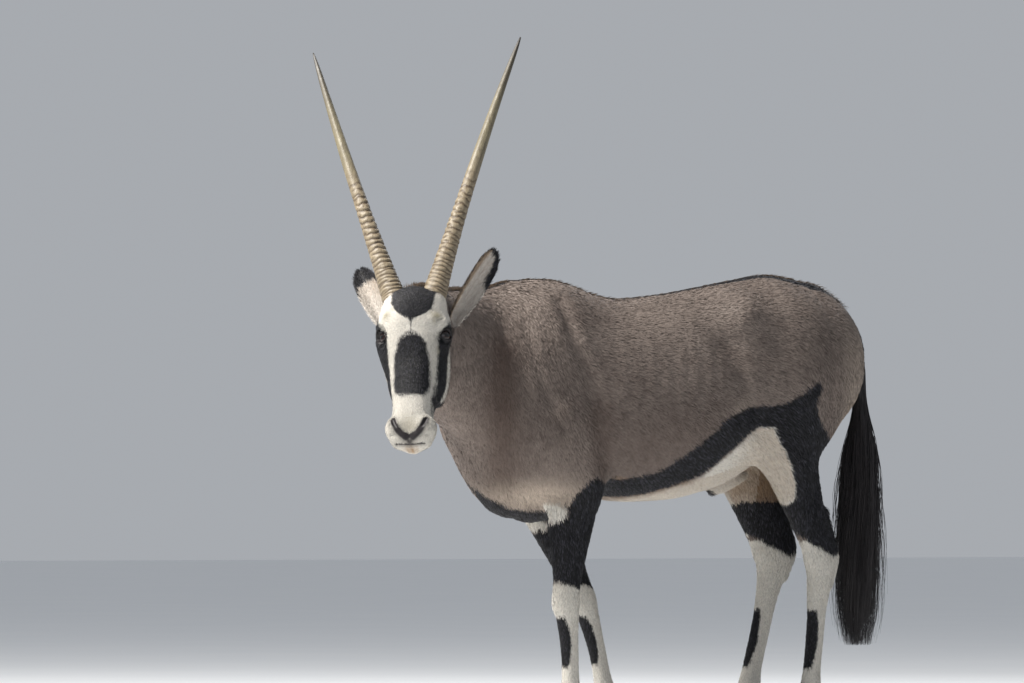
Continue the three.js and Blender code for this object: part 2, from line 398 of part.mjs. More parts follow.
for (const side of ['left', 'right']) {
  const h = HORN[side], rings = [], n = 9, RINGED = 0.56;
  for (let i = 0; i <= HORN_RINGS * 2; i++) {
    const t = 0.035 + (RINGED - 0.035) * (i / (HORN_RINGS * 2)) ** 1.12;
    rings.push(hornRing(h, t, n, HORN_BASE * curve(t, HORN_T, HORN_R) * (i % 2 ? 1.0 : 0.925)));
  }
  rings.unshift(hornRing(h, 0, n, HORN_BASE * 0.9));
  for (const t of [0.66, 0.76, 0.85, 0.92, 0.97, 0.993]) rings.push(hornRing(h, t, n, HORN_BASE * curve(t, HORN_T, HORN_R)));
  node('horn_' + side, solid(loft(rings, null, fromHead(h.tip))).subtract(headGrown), 'horn');
}

// ears: cupped leaves, from root to tip, open towards 'face'
const EAR = {
  left: { root: [0.068, -0.110, 0.060], tip: [0.1772, -0.1562, 0.2771], face: [0.827, 0.534, 0.003] },
  right: { root: [-0.075, -0.103, 0.052], tip: [-0.168, -0.1842, 0.253], face: [-0.08, 0.99, 0] },
};
const EAR_T = [0, 0.12, 0.25, 0.45, 0.65, 0.80, 0.91, 0.97, 1];
const EAR_W = [0.015, 0.019, 0.0245, 0.0295, 0.0310, 0.0290, 0.0215, 0.0130, 0.003];
function earLoft(e) {
  const long = unit(sub(e.tip, e.root)), N = unit(sub(e.face, mul(long, dot(e.face, long)))), S = cross(long, N);
  const P = [], m = 4, rows = [0, 0.12, 0.24, 0.38, 0.52, 0.66, 0.79, 0.90, 0.965, 1];
  for (const t of rows) {
    const w = curve(t, EAR_T, EAR_W), cup = 0.020 * (1 - t) + 0.55 * w * (1 - 0.5 * t), th = 0.0085 - 0.004 * t;
    const c = mix(e.root, e.tip, t), row = [[], []];
    for (const outer of [0, 1]) for (let i = 0; i <= m; i++) {
      const s = -1 + (2 * i) / m, dip = cup * (1 - s * s) * 0.9;
      const q = add(c, add(mul(S, w * s * (outer ? 1 : 0.93)), mul(N, -dip + cup * 0.5 - (outer ? th * (0.35 + 0.65 * (1 - s * s)) : 0))));
      row[outer].push(fromHead(q));
    }
    P.push([...row[0], ...row[1].reverse()]);
  }
  const n = 2 * (m + 1), T = [], V = P.flat(), o = (rows.length - 1) * n;
  for (let i = 0; i + 1 < P.length; i++) for (let k = 0; k < n; k++) {
    const a = i * n + k, b = i * n + ((k + 1) % n);
    T.push([a, b, b + n], [a, b + n, a + n]);
  }
  for (let k = 0; k < m; k++) for (const [q, flip] of [[0, true], [o, false]]) {
    const a = q + k, b = q + k + 1, c = q + n - 1 - k, d = q + n - 2 - k;
    T.push(...(flip ? [[a, d, b], [a, c, d]] : [[a, b, d], [a, d, c]]));
  }
  return facingOut(V, T);
}
for (const side of ['left', 'right']) node('ear_' + side, solid(earLoft(EAR[side])).subtract(headGrown), 'ear');

// ------------------------------------------------------------------ legs, in level rings
const legLook = { fore: ['dark', 'white'], hind: ['dark', 'white'] };
for (const [name, g] of Object.entries(LEGS)) {
  const fore = name.startsWith('fore'), wall = legWall(name, g.side);
  const n1 = fore ? 6 : 9, up = Array.from({ length: n1 }, (_, i) => g.top - CUT + (g.knee + CUT - (g.top - CUT)) * (i / (n1 - 1)));
  node(name + '_upper', solid(loft(levels(g.limb, up, wall))), legLook[fore ? 'fore' : 'hind'][0]);
  const k = g.knee - CUT, low = fore ? [k, k - 0.022, k - 0.048, k - 0.078, 0.25, 0.19, 0.155, 0.138, 0.122, 0.106, 0.088, 0.068, CORONET + CUT]
    : [k, k - 0.030, k - 0.065, k - 0.11, 0.25, 0.19, 0.160, 0.142, 0.126, 0.110, 0.092, 0.070, CORONET + CUT];
  const lowRings = levels(g.limb, low);
  node(name + '_lower', solid(loft(lowRings)), legLook[fore ? 'fore' : 'hind'][1]);
  const swell = (r) => { const m = mul(r.reduce(add), 1 / r.length); return r.map((p) => add(p, mul(unit(sub(p, m)), CLEAR * 1.4))); };
  const lowerGrown = solid(loft(lowRings.map(swell)));

  // the two claws of the hoof, and the two dew claws behind the fetlock
  const base = g.limb.T.at(-1), t = rad(g.toe) * g.side, E = [cos(t), sin(t), 0], S = [-sin(t), cos(t), 0];
  const O = add([base[0], base[1], 0], [0, 0, 0]);
  for (const k2 of [1, -1]) {
    const outline = (z) => {
      const v = z / CORONET, front = 0.078 - 0.047 * v, rear = -0.036 + 0.005 * v, out = 0.0335 - 0.0075 * v, inner = 0.0012;
      return Array.from({ length: 10 }, (_, i) => {
        const a = (2 * PI * i) / 10, cx = cos(a), sx = sin(a);
        const x = cx > 0 ? front * cx ** 1.0 : -rear * cx, taper = cx > 0 ? 1 - 0.42 * cx ** 2 : 1;
        const y = sx > 0 ? inner + (out - inner) * (0.5 + 0.5 * abs(sx) ** 0.8 * taper) : inner + (out - inner) * (0.5 - 0.5 * abs(sx) ** 0.45);
        return add(O, add(mul(E, x), add(mul(S, y * k2), [0, 0, z])));
      });
    };
    const rings = [0, 0.016, CORONET - CUT].map(outline);
    node(`hoof_${name.replace('leg', '')}_${k2 * g.side > 0 ? 'outer' : 'inner'}`, solid(loft(rings)), 'hoof');
  }
  const fet = g.limb.T.find((r) => r[2] < 0.122);
  for (const k2 of [1, -1]) {
    const c = add([fet[0], fet[1], 0.106], add(mul(E, -0.020), mul(S, 0.0125 * k2)));
    const rings = [[0.010, 0.0110], [-0.002, 0.0125], [-0.014, 0.0080]].map(([z, r]) => Array.from({ length: 6 }, (_, i) => add(c, add(mul(E, -0.010 + 0.5 * z + r * 1.25 * cos((2 * PI * i) / 6)), add(mul(S, r * 0.85 * sin((2 * PI * i) / 6)), [0, 0, z])))));
    node(`dewclaw_${name.replace('leg', '')}_${k2 * g.side > 0 ? 'outer' : 'inner'}`, solid(loft(rings)).subtract(lowerGrown), 'hoof');
  }
}

// ------------------------------------------------------------------ tail
const TUFT_TOP = 0.846;
const dockRings = [], N_DOCK = 8;
const dockRing = (c, U, V, a, b) => Array.from({ length: N_DOCK }, (_, k) => add(c, add(mul(U, a * cos((2 * PI * k) / N_DOCK)), mul(V, b * sin((2 * PI * k) / N_DOCK)))));
for (let i = 0; i < DOCK.T.length; i += 3) {
  const r = DOCK.T[i];
  if (r[2] < TUFT_TOP + 0.012) break;
  dockRings.push(dockRing(r.slice(0, 3), DOCK.side[i], DOCK.up[i], r[3], r[4]));
}
dockRings.push(dockRing([-0.5892, 0, TUFT_TOP + CUT], DOCK.side.at(-1).map((v, i) => (i === 2 ? 0 : v)), [DOCK.up.at(-1)[0], DOCK.up.at(-1)[1], 0], 0.0155, 0.0155));
node('tail_dock', solid(loft(dockRings.map((r) => r))).subtract(trunkLoft(CLEAR)), 'dark');
const TUFT = [ // u, f, half fore-aft, half across
  [TUFT_TOP - CUT, -0.5892, 0.0165, 0.0165], [0.82, -0.590, 0.020, 0.019], [0.78, -0.589, 0.025, 0.024], [0.73, -0.587, 0.031, 0.030], [0.67, -0.585, 0.037, 0.036], [0.60, -0.583, 0.043, 0.042],
  [0.52, -0.581, 0.049, 0.047], [0.44, -0.580, 0.052, 0.049], [0.37, -0.580, 0.050, 0.047], [0.31, -0.580, 0.042, 0.039], [0.265, -0.580, 0.027, 0.025], [0.24, -0.580, 0.010, 0.010]];
node('tail_tuft', solid(loft(TUFT.map(([u, f, a, b]) => Array.from({ length: 9 }, (_, k) => [f - a * cos((2 * PI * k) / 9), -b * sin((2 * PI * k) / 9), u])))), 'dark');

export default group;
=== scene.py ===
import math

import bmesh
import bpy
import numpy as np
from mathutils import Matrix, Vector


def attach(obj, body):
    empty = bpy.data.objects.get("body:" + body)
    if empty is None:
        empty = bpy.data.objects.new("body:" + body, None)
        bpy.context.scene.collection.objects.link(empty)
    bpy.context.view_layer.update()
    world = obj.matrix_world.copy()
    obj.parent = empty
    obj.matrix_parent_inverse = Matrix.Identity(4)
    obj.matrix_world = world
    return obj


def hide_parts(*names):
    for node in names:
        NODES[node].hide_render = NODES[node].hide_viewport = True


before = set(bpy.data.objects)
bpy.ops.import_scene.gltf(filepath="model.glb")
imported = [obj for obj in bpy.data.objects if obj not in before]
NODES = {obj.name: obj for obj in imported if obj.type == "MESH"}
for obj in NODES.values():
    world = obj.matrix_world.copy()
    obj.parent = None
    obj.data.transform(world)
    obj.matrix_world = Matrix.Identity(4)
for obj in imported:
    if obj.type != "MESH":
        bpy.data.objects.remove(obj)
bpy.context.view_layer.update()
SCENE = bpy.context.scene

# ---------------------------------------------------------------- shape
# The flesh is one smooth field over the animal's own frame, in metres:
# f = forwards, l = to its left, u = up. Below zero is inside the coat's outline.
CENTRE_F, CENTRE_L = 0.16342, 0.10170
sin, cos, rad = math.sin, math.cos, math.radians


def V(*a):
    return np.array(a, float)


def unit(v):
    v = np.asarray(v, float)
    return v / np.linalg.norm(v)


def rows_unit(v):
    return v / np.maximum(np.linalg.norm(v, axis=1), 1e-9)[:, None]


def smin(a, b, k):
    h = np.maximum(k - np.abs(a - b), 0) / k
    return np.minimum(a, b) - h * h * k * 0.25


def smax(a, b, k):
    return -smin(-a, -b, k)


def ramp(x, a, b):
    """0 at a, 1 at b, smooth between"""
    t = np.clip((x - a) / (b - a), 0, 1)
    return t * t * (3 - 2 * t)


class Curve:
    """smooth curve through a few stations, without overshoot"""

    def __init__(self, xs, ys, n=600):
        xs, ys = np.asarray(xs, float), np.asarray(ys, float)
        d = np.diff(ys) / np.diff(xs)
        m = np.zeros(len(xs))
        m[0], m[-1] = d[0], d[-1]
        for i in range(1, len(xs) - 1):
            m[i] = 0 if d[i - 1] * d[i] <= 0 else 2 * d[i - 1] * d[i] / (d[i - 1] + d[i])
        x = np.linspace(xs[0], xs[-1], n)
        i = np.clip(np.searchsorted(xs, x, side="right") - 1, 0, len(xs) - 2)
        h = xs[i + 1] - xs[i]
        t = (x - xs[i]) / h
        t2, t3 = t * t, t * t * t
        self.x = x
        self.y = (2 * t3 - 3 * t2 + 1) * ys[i] + (t3 - 2 * t2 + t) * h * m[i] + (3 * t2 - 2 * t3) * ys[i + 1] + (t3 - t2) * h * m[i + 1]

    def __call__(self, x):
        return np.interp(x, self.x, self.y)


def egg(q0, q1, q2, r0, r1, r2):
    a, b, c = q0 / r0, q1 / r1, q2 / r2
    k1 = np.sqrt(a * a + b * b + c * c)
    k2 = np.sqrt((a / r0) ** 2 + (b / r1) ** 2 + (c / r2) ** 2)
    return k1 * (k1 - 1) / np.maximum(k2, 1e-6)


def ell(p, c, r, ax=None):
    q = p - np.asarray(c, float)
    if ax is not None:
        q = q @ ax.T
    return egg(q[:, 0], q[:, 1], q[:, 2], r[0], r[1], r[2])


def axes(long, side):
    e = unit(long)
    s = unit(np.asarray(side, float) - e * np.dot(side, e))
    return np.stack([e, np.cross(s, e), s])


def spline(rows, n):
    P = np.asarray(rows, float)
    P = np.vstack([2 * P[0] - P[1], P, 2 * P[-1] - P[-2]])
    out = []
    for i in range(1, len(P) - 2):
        for j in range(n):
            t = j / n
            t2, t3 = t * t, t * t * t
            out.append(0.5 * (2 * P[i] + (P[i + 1] - P[i - 1]) * t + (2 * P[i - 1] - 5 * P[i] + 4 * P[i + 1] - P[i + 2]) * t2 + (3 * P[i] - P[i - 1] - 3 * P[i + 1] + P[i + 2]) * t3))
    out.append(P[-2])
    return np.array(out)


class Limb:
    """a bent tube of oval section: rows of f, l, u, half width across, half width along ref"""

    def __init__(self, rows, ref, n=6):
        self.T = spline(rows, n)
        C = self.T[:, :3]
        d = np.gradient(C, axis=0)
        self.step = np.linalg.norm(d, axis=1)
        self.t = d / self.step[:, None]
        ref = np.asarray(ref, float)
        self.up = rows_unit(ref - self.t * (self.t @ ref)[:, None])
        self.sd = np.cross(self.up, self.t)
        m = self.T[:, 3:5].max() + 0.07
        self.lo, self.hi = C.min(0) - m, C.max(0) + m

    def place(self, q):
        """row number along the limb, offset from its line, and the local directions"""
        C = self.T[:, :3]
        D = (q * q).sum(1)[:, None] - 2 * q @ C.T + (C * C).sum(1)[None]
        i = D.argmin(1)
        n = len(C)
        s = np.einsum("ij,ij->i", q - C[i], self.t[i]) / self.step[i]
        x = np.clip(i + s, 0, n - 1)
        j = np.minimum(x.astype(int), n - 2)
        w = (x - j)[:, None]
        mix = lambda a: a[j] * (1 - w) + a[j + 1] * w
        r = q - mix(C)
        over = (i + s < 0) | (i + s > n - 1)
        return x, r, rows_unit(mix(self.t)), rows_unit(mix(self.sd)), rows_unit(mix(self.up)), mix(self.T[:, 3:5]), over

    def __call__(self, p):
        out = np.linalg.norm(np.maximum(np.maximum(self.lo - p, p - self.hi), 0), axis=1) + 0.06
        m = out <= 0.06
        if m.any():
            _, r, t, sd, up, R, over = self.place(p[m])
            a = np.where(over, np.einsum("ij,ij->i", r, t), 0)
            out[m] = egg(a, np.einsum("ij,ij->i", r, sd), np.einsum("ij,ij->i", r, up), R.min(1), R[:, 0], R[:, 1])
        return out


# stations along the back: top line, bottom line, half width, height of the widest place
TF = [-0.40, -0.36, -0.29, -0.20, -0.10, 0.00, 0.10, 0.145, 0.20, 0.26, 0.32, 0.38, 0.42]
TOP = Curve(TF, [1.175, 1.184, 1.191, 1.176, 1.157, 1.139, 1.127, 1.1245, 1.133, 1.146, 1.155, 1.157, 1.150])
BOTTOM = Curve(TF, [0.785, 0.770, 0.745, 0.672, 0.632, 0.613, 0.609, 0.611, 0.618, 0.600, 0.568, 0.558, 0.568])
HALF = Curve(TF, [0.168, 0.176, 0.188, 0.205, 0.217, 0.222, 0.218, 0.215, 0.210, 0.203, 0.192, 0.178, 0.168])
MID = Curve(TF, [0.955, 0.945, 0.930, 0.880, 0.850, 0.835, 0.830, 0.830, 0.830, 0.830, 0.830, 0.835, 0.845])


def barrel(p):
    f = p[:, 0]
    c = MID(f)
    v = p[:, 2] - c
    h = np.where(v > 0, TOP(f) - c, c - BOTTOM(f))
    over = np.where(f > TF[-1], f - TF[-1], np.where(f < TF[0], f - TF[0], 0.0))
    return egg(over, p[:, 1], v, np.where(f > 0, 0.165, 0.172), HALF(f), h)


MUSCLES = [m for s in (1, -1) for m in (
    ((0.425, 0.105 * s, 0.925), (0.205, 0.115, 0.072), axes((-0.42, -0.12 * s, 1), (0, s, 0)), 0.06),
    ((0.400, 0.118 * s, 0.775), (0.155, 0.110, 0.064), axes((0.55, 0.05 * s, 0.6), (0, s, 0)), 0.06),
    ((-0.325, 0.095 * s, 0.915), (0.210, 0.150, 0.098), axes((0.12, 0.02 * s, 1), (0, s, 0)), 0.06),
    ((-0.165, 0.115 * s, 1.060), (0.060, 0.050, 0.055), None, 0.08),
    ((-0.462, 0.070 * s, 0.965), (0.058, 0.065, 0.110), None, 0.06),
)]
NECK = Limb([
    (0.36, 0.000, 0.930, 0.165, 0.220), (0.50, 0.022, 0.945, 0.135, 0.205), (0.62, 0.075, 0.968, 0.112, 0.175),
    (0.720, 0.140, 0.990, 0.098, 0.150), (0.795, 0.207, 1.010, 0.088, 0.130), (0.848, 0.265, 1.020, 0.078, 0.112)], (-0.25, -0.05, 1))
FORE_LEFT = Limb([
    (0.390, 0.135, 0.80, 0.070, 0.105), (0.318, 0.132, 0.665, 0.060, 0.078), (0.322, 0.124, 0.59, 0.050, 0.068), (0.325, 0.118, 0.52, 0.0400, 0.0560),
    (0.327, 0.113, 0.44, 0.0315, 0.0400), (0.328, 0.110, 0.395, 0.0300, 0.0345), (0.329, 0.109, 0.357, 0.0325, 0.0360), (0.325, 0.109, 0.315, 0.0250, 0.0295),
    (0.320, 0.109, 0.25, 0.0205, 0.0245), (0.317, 0.109, 0.175, 0.0200, 0.0235), (0.320, 0.110, 0.125, 0.0250, 0.0290), (0.334, 0.110, 0.088, 0.0215, 0.0245), (0.346, 0.110, 0.045, 0.0265, 0.0310)], (1, 0, 0.1))
FORE_RIGHT = Limb([
    (0.375, -0.135, 0.80, 0.070, 0.105), (0.285, -0.132, 0.660, 0.060, 0.078), (0.258, -0.125, 0.59, 0.050, 0.068), (0.228, -0.118, 0.52, 0.0400, 0.0560),
    (0.195, -0.114, 0.44, 0.0315, 0.0400), (0.177, -0.112, 0.400, 0.0300, 0.0345), (0.163, -0.111, 0.363, 0.0325, 0.0360), (0.147, -0.110, 0.320, 0.0250, 0.0295),
    (0.128, -0.109, 0.255, 0.0205, 0.0245), (0.110, -0.109, 0.180, 0.0200, 0.0235), (0.102, -0.110, 0.128, 0.0250, 0.0290), (0.114, -0.110, 0.090, 0.0215, 0.0245), (0.126, -0.110, 0.045, 0.0265, 0.0310)], (1, 0, 0.3))
TOE_OUT = rad(14)
HIND_LEFT = Limb([
    (-0.295, 0.100, 0.93, 0.090, 0.115), (-0.282, 0.118, 0.80, 0.080, 0.118), (-0.318, 0.122, 0.69, 0.056, 0.082), (-0.352, 0.119, 0.60, 0.040, 0.062),
    (-0.388, 0.115, 0.515, 0.031, 0.050), (-0.401, 0.113, 0.463, 0.0305, 0.047), (-0.401, 0.114, 0.415, 0.0270, 0.0370), (-0.392, 0.116, 0.345, 0.0225, 0.0275),
    (-0.383, 0.118, 0.26, 0.0210, 0.0255), (-0.374, 0.120, 0.185, 0.0210, 0.0255), (-0.368, 0.121, 0.135, 0.0260, 0.0300), (-0.352, 0.123, 0.092, 0.0220, 0.0250), (-0.338, 0.125, 0.045, 0.0265, 0.0310)],
    (cos(TOE_OUT), sin(TOE_OUT), 0.15))
HIND_RIGHT = Limb([
    (-0.295, -0.100, 0.93, 0.090, 0.115), (-0.282, -0.118, 0.80, 0.080, 0.118), (-0.320, -0.122, 0.695, 0.058, 0.084), (-0.354, -0.119, 0.605, 0.042, 0.066),
    (-0.383, -0.115, 0.53, 0.034, 0.057), (-0.393, -0.113, 0.480, 0.032, 0.052), (-0.391, -0.114, 0.430, 0.0270, 0.0385), (-0.377, -0.116, 0.36, 0.0225, 0.0275),
    (-0.357, -0.118, 0.27, 0.0210, 0.0255), (-0.338, -0.120, 0.19, 0.0210, 0.0255), (-0.328, -0.121, 0.138, 0.0260, 0.0300), (-0.312, -0.123, 0.093, 0.0220, 0.0250), (-0.298, -0.125, 0.045, 0.0265, 0.0310)],
    (cos(TOE_OUT), -sin(TOE_OUT), 0.15))


def heel(side, c):
    o = lambda d, z: (c[0] - cos(TOE_OUT) * d, c[1] - sin(TOE_OUT) * side * d, c[2] + z)
    return Limb([(*o(0.018, 0.125), 0.009, 0.012), (*o(0.036, 0.060), 0.0105, 0.014), (*o(0.044, 0.002), 0.015, 0.020), (*o(0.028, -0.060), 0.013, 0.014)], (1, 0, 0.2), 5)


HEEL_LEFT = heel(1, (-0.399, 0.114, 0.468))
HEEL_RIGHT = heel(-1, (-0.394, -0.113, 0.485))
DOCK = Limb([(-0.500, 0, 1.090, 0.042, 0.036), (-0.548, 0, 1.062, 0.029, 0.025), (-0.576, 0, 1.012, 0.022, 0.022), (-0.586, 0, 0.95, 0.018, 0.018), (-0.589, 0, 0.87, 0.0155, 0.0155), (-0.590, 0, 0.80, 0.014, 0.014)], (1, 0, 0))


def torso(p):
    d = barrel(p)
    for c, r, ax, k in MUSCLES:
        d = smin(d, ell(p, c, r, ax), k)
    d = smin(d, ell(p, (0.465, 0, 0.775), (0.105, 0.110, 0.100)), 0.05)
    return smin(d, NECK(p), 0.07)


def legs(p):
    d = smin(HIND_LEFT(p), HEEL_LEFT(p), 0.02)
    d = np.minimum(d, smin(HIND_RIGHT(p), HEEL_RIGHT(p), 0.02))
    return np.minimum(d, np.minimum(FORE_LEFT(p), FORE_RIGHT(p)))


def body(p):
    d = smin(torso(p), legs(p), 0.04)
    d = smin(d, ell(p, (-0.195, 0, 0.660), (0.066, 0.024, 0.020), axes((0.9, 0, -0.42), (0, 0, 1))), 0.03)
    return smin(d, ell(p, (-0.345, 0, 0.735), (0.042, 0.036, 0.055)), 0.02)


# the head's own frame: x to its left, y out of the face, z up the face
LOOK, HEAD_YAW, HEAD_TILT, HEAD_ROLL = rad(62), rad(9.5), rad(20), rad(2.0)
BROW = V(0.877, 0.330, 1.015)
_n = V(cos(LOOK - HEAD_YAW), sin(LOOK - HEAD_YAW), 0)
_x0 = V(-_n[1], _n[0], 0)
_z0 = _n * -sin(HEAD_TILT) + V(0, 0, cos(HEAD_TILT))
HEAD = np.stack([_x0 * cos(HEAD_ROLL) + _z0 * sin(HEAD_ROLL), _n * cos(HEAD_TILT) + V(0, 0, sin(HEAD_TILT)), _z0 * cos(HEAD_ROLL) - _x0 * sin(HEAD_ROLL)])
to_head = lambda p: (np.asarray(p, float) - BROW) @ HEAD.T
from_head = lambda q: np.asarray(q, float) @ HEAD + BROW
head_dir = lambda v: np.asarray(v, float) @ HEAD
HZ = [-0.262, -0.245, -0.225, -0.205, -0.185, -0.160, -0.125, -0.09, -0.05, -0.02, 0.02, 0.05, 0.08, 0.105]
H_FRONT = Curve(HZ, [-0.016, -0.006, -0.002, -0.001, 0, 0, 0, 0.001, 0.002, 0.003, 0.003, -0.001, -0.010, -0.024])
H_BACK = Curve(HZ, [-0.082, -0.090, -0.098, -0.104, -0.112, -0.124, -0.146, -0.170, -0.192, -0.200, -0.198, -0.188, -0.172, -0.155])
H_HALF = Curve(HZ, [0.0500, 0.0575, 0.0595, 0.0535, 0.0505, 0.0535, 0.0600, 0.0655, 0.0720, 0.0765, 0.0780, 0.0760, 0.0710, 0.0640])
H_MID = Curve(HZ, [-0.045, -0.046, -0.048, -0.050, -0.056, -0.066, -0.080, -0.090, -0.095, -0.092, -0.085, -0.080, -0.080, -0.085])
EYE = V(0.0660, -0.0500, 0.0125)
EYE_RADIUS = 0.0205


def skull(q):
    """the head without eyes, nostrils or mouth"""
    x, y, z = q[:, 0], q[:, 1], q[:, 2]
    w, c = H_HALF(z), H_MID(z)
    v = y - c
    h = np.where(v > 0, H_FRONT(z) - c, c - H_BACK(z))
    over = np.where(z > HZ[-1], z - HZ[-1], np.where(z < HZ[0], z - HZ[0], 0.0))
    rz = np.where(z > 0, 0.045, 0.020)
    a, b, cc = np.abs(x) / w, np.abs(v) / h, np.abs(over) / rz
    n = np.where(v > 0, 2.5, 2.15)
    k = np.hypot((a ** n + b ** n) ** (1 / n), cc)
    g = np.sqrt((a / w) ** 2 + (b / h) ** 2 + (cc / rz) ** 2)
    d = k * (k - 1) / np.maximum(g, 1e-6)
    s = np.stack([np.abs(x), y, z], 1)
    d = smin(d, ell(s, (0.060, -0.055, 0.018), (0.0285, 0.036, 0.038)), 0.020)
    d = smin(d, ell(s, (0.056, -0.050, 0.050), (0.026, 0.030, 0.034)), 0.022)
    d = smin(d, ell(s, (0.042, -0.125, -0.055), (0.034, 0.062, 0.085)), 0.025)
    d = smin(d, ell(s, (0.043, -0.045, 0.098), (0.033, 0.033, 0.034)), 0.016)
    d = smin(d, ell(s, (0, -0.105, 0.095), (0.062, 0.060, 0.050)), 0.03)
    d = smin(d, ell(s, (0.034, -0.030, -0.232), (0.029, 0.030, 0.030)), 0.014)
    d = smin(d, ell(s, (0.018, -0.040, -0.256), (0.030, 0.034, 0.019)), 0.012)
    return smin(d, ell(s, (0, -0.062, -0.264), (0.0255, 0.032, 0.019)), 0.008)


def whole(p):
    return smin(body(p), skull(to_head(p)), 0.03)


# ---------------------------------------------------------------- meshing a field
def sample_field(fn, lo, hi, h, B=8, band=1.3, chunk=300000):
    """the field on a grid, worked out only in blocks near the surface"""
    lo = np.asarray(lo, float)
    n = np.ceil((np.asarray(hi) - lo) / h / B).astype(int)
    D = np.empty(n * B + 1, np.float32)
    bc = np.stack(np.meshgrid(*[(np.arange(k) + 0.5) * B * h for k in n], indexing="ij"), -1).reshape(-1, 3) + lo
    dc = fn(bc)
    sg = np.where(dc < 0, -1.0, 1.0).reshape(n).astype(np.float32)
    D[:-1, :-1, :-1] = np.repeat(np.repeat(np.repeat(sg, B, 0), B, 1), B, 2)
    D[-1] = 1
    D[:, -1] = 1
    D[:, :, -1] = 1
    keep = np.where(np.abs(dc) < B * h * 0.87 * band + 2 * h)[0]
    o = np.stack(np.meshgrid(*[np.arange(B + 1)] * 3, indexing="ij"), -1).reshape(-1, 3)
    ijk = np.stack(np.unravel_index(keep, n), 1)
    m = max(1, chunk // len(o))
    for s in range(0, len(ijk), m):
        g = (ijk[s:s + m, None, :] * B + o[None]).reshape(-1, 3)
        D[g[:, 0], g[:, 1], g[:, 2]] = fn(lo + g * h)
    return D, lo


def surface_nets(D, lo, h):
    inside = D < 0
    c = sum(inside[i:D.shape[0] - 1 + i, j:D.shape[1] - 1 + j, k:D.shape[2] - 1 + k].astype(np.int8) for i in (0, 1) for j in (0, 1) for k in (0, 1))
    act = (c > 0) & (c < 8)
    cells = np.argwhere(act)
    idx = np.full(act.shape, -1, np.int32)
    idx[act] = np.arange(len(cells))
    corner = {(i, j, k): D[cells[:, 0] + i, cells[:, 1] + j, cells[:, 2] + k].astype(float) for i in (0, 1) for j in (0, 1) for k in (0, 1)}
    acc, cnt = np.zeros((len(cells), 3)), np.zeros(len(cells))
    for a in range(3):
        b, c2 = (a + 1) % 3, (a + 2) % 3
        for u in (0, 1):
            for v in (0, 1):
                p, q = [0, 0, 0], [0, 0, 0]
                p[b] = q[b] = u
                p[c2] = q[c2] = v
                q[a] = 1
                A, Z = corner[tuple(p)], corner[tuple(q)]
                m = (A < 0) != (Z < 0)
                t = np.where(m, A / np.where(m, A - Z, 1), 0)
                pos = np.tile(np.array(p, float), (len(cells), 1))
                pos[:, a] = t
                acc += pos * m[:, None]
                cnt += m
    verts = lo + (cells + acc / cnt[:, None]) * h
    quads = []
    for a in range(3):
        b, c2 = (a + 1) % 3, (a + 2) % 3
        s0, s1 = [slice(None)] * 3, [slice(None)] * 3
        s0[a], s1[a] = slice(0, -1), slice(1, None)
        A, Z = inside[tuple(s0)], inside[tuple(s1)]
        e = np.argwhere(A != Z)
        e = e[(e[:, b] > 0) & (e[:, c2] > 0) & (e[:, b] < idx.shape[b]) & (e[:, c2] < idx.shape[c2])]

        def at(db, dc):
            q = e.copy()
            q[:, b] += db
            q[:, c2] += dc
            return idx[q[:, 0], q[:, 1], q[:, 2]]
        q = np.stack([at(-1, -1), at(0, -1), at(0, 0), at(-1, 0)], 1)
        ins = A[e[:, 0], e[:, 1], e[:, 2]]
        q[~ins] = q[~ins][:, ::-1]
        quads.append(q)
    return verts, np.concatenate(quads)


def gradient(fn, p, e=0.001):
    g = np.empty_like(p)
    for a in range(3):
        d = np.zeros(3)
        d[a] = e
        g[:, a] = (fn(p + d) - fn(p - d)) / (2 * e)
    return g


def settle(fn, p, n=2, cap=0.004, e=0.001):
    """moves points onto the field's zero"""
    for _ in range(n):
        d, g = fn(p), gradient(fn, p, e)
        s = np.clip(d / np.maximum((g * g).sum(1), 0.25), -cap, cap)
        p = p - g * s[:, None]
    return p


BODY_STEP, HEAD_STEP = ((0.0075, 0.0021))

# ---------------------------------------------------------------- finer relief of the skin
def polyline_distance(p, pts):
    best = np.full(len(p), 9.0)
    pts = np.asarray(pts, float)
    for a, b in zip(pts[:-1], pts[1:]):
        e, w = b - a, p - a
        t = np.clip(w @ e / (e @ e), 0, 1)
        best = np.minimum(best, np.linalg.norm(w - t[:, None] * e, axis=1))
    return best


def bump(d, r):
    return np.exp(-(d / r) ** 2)


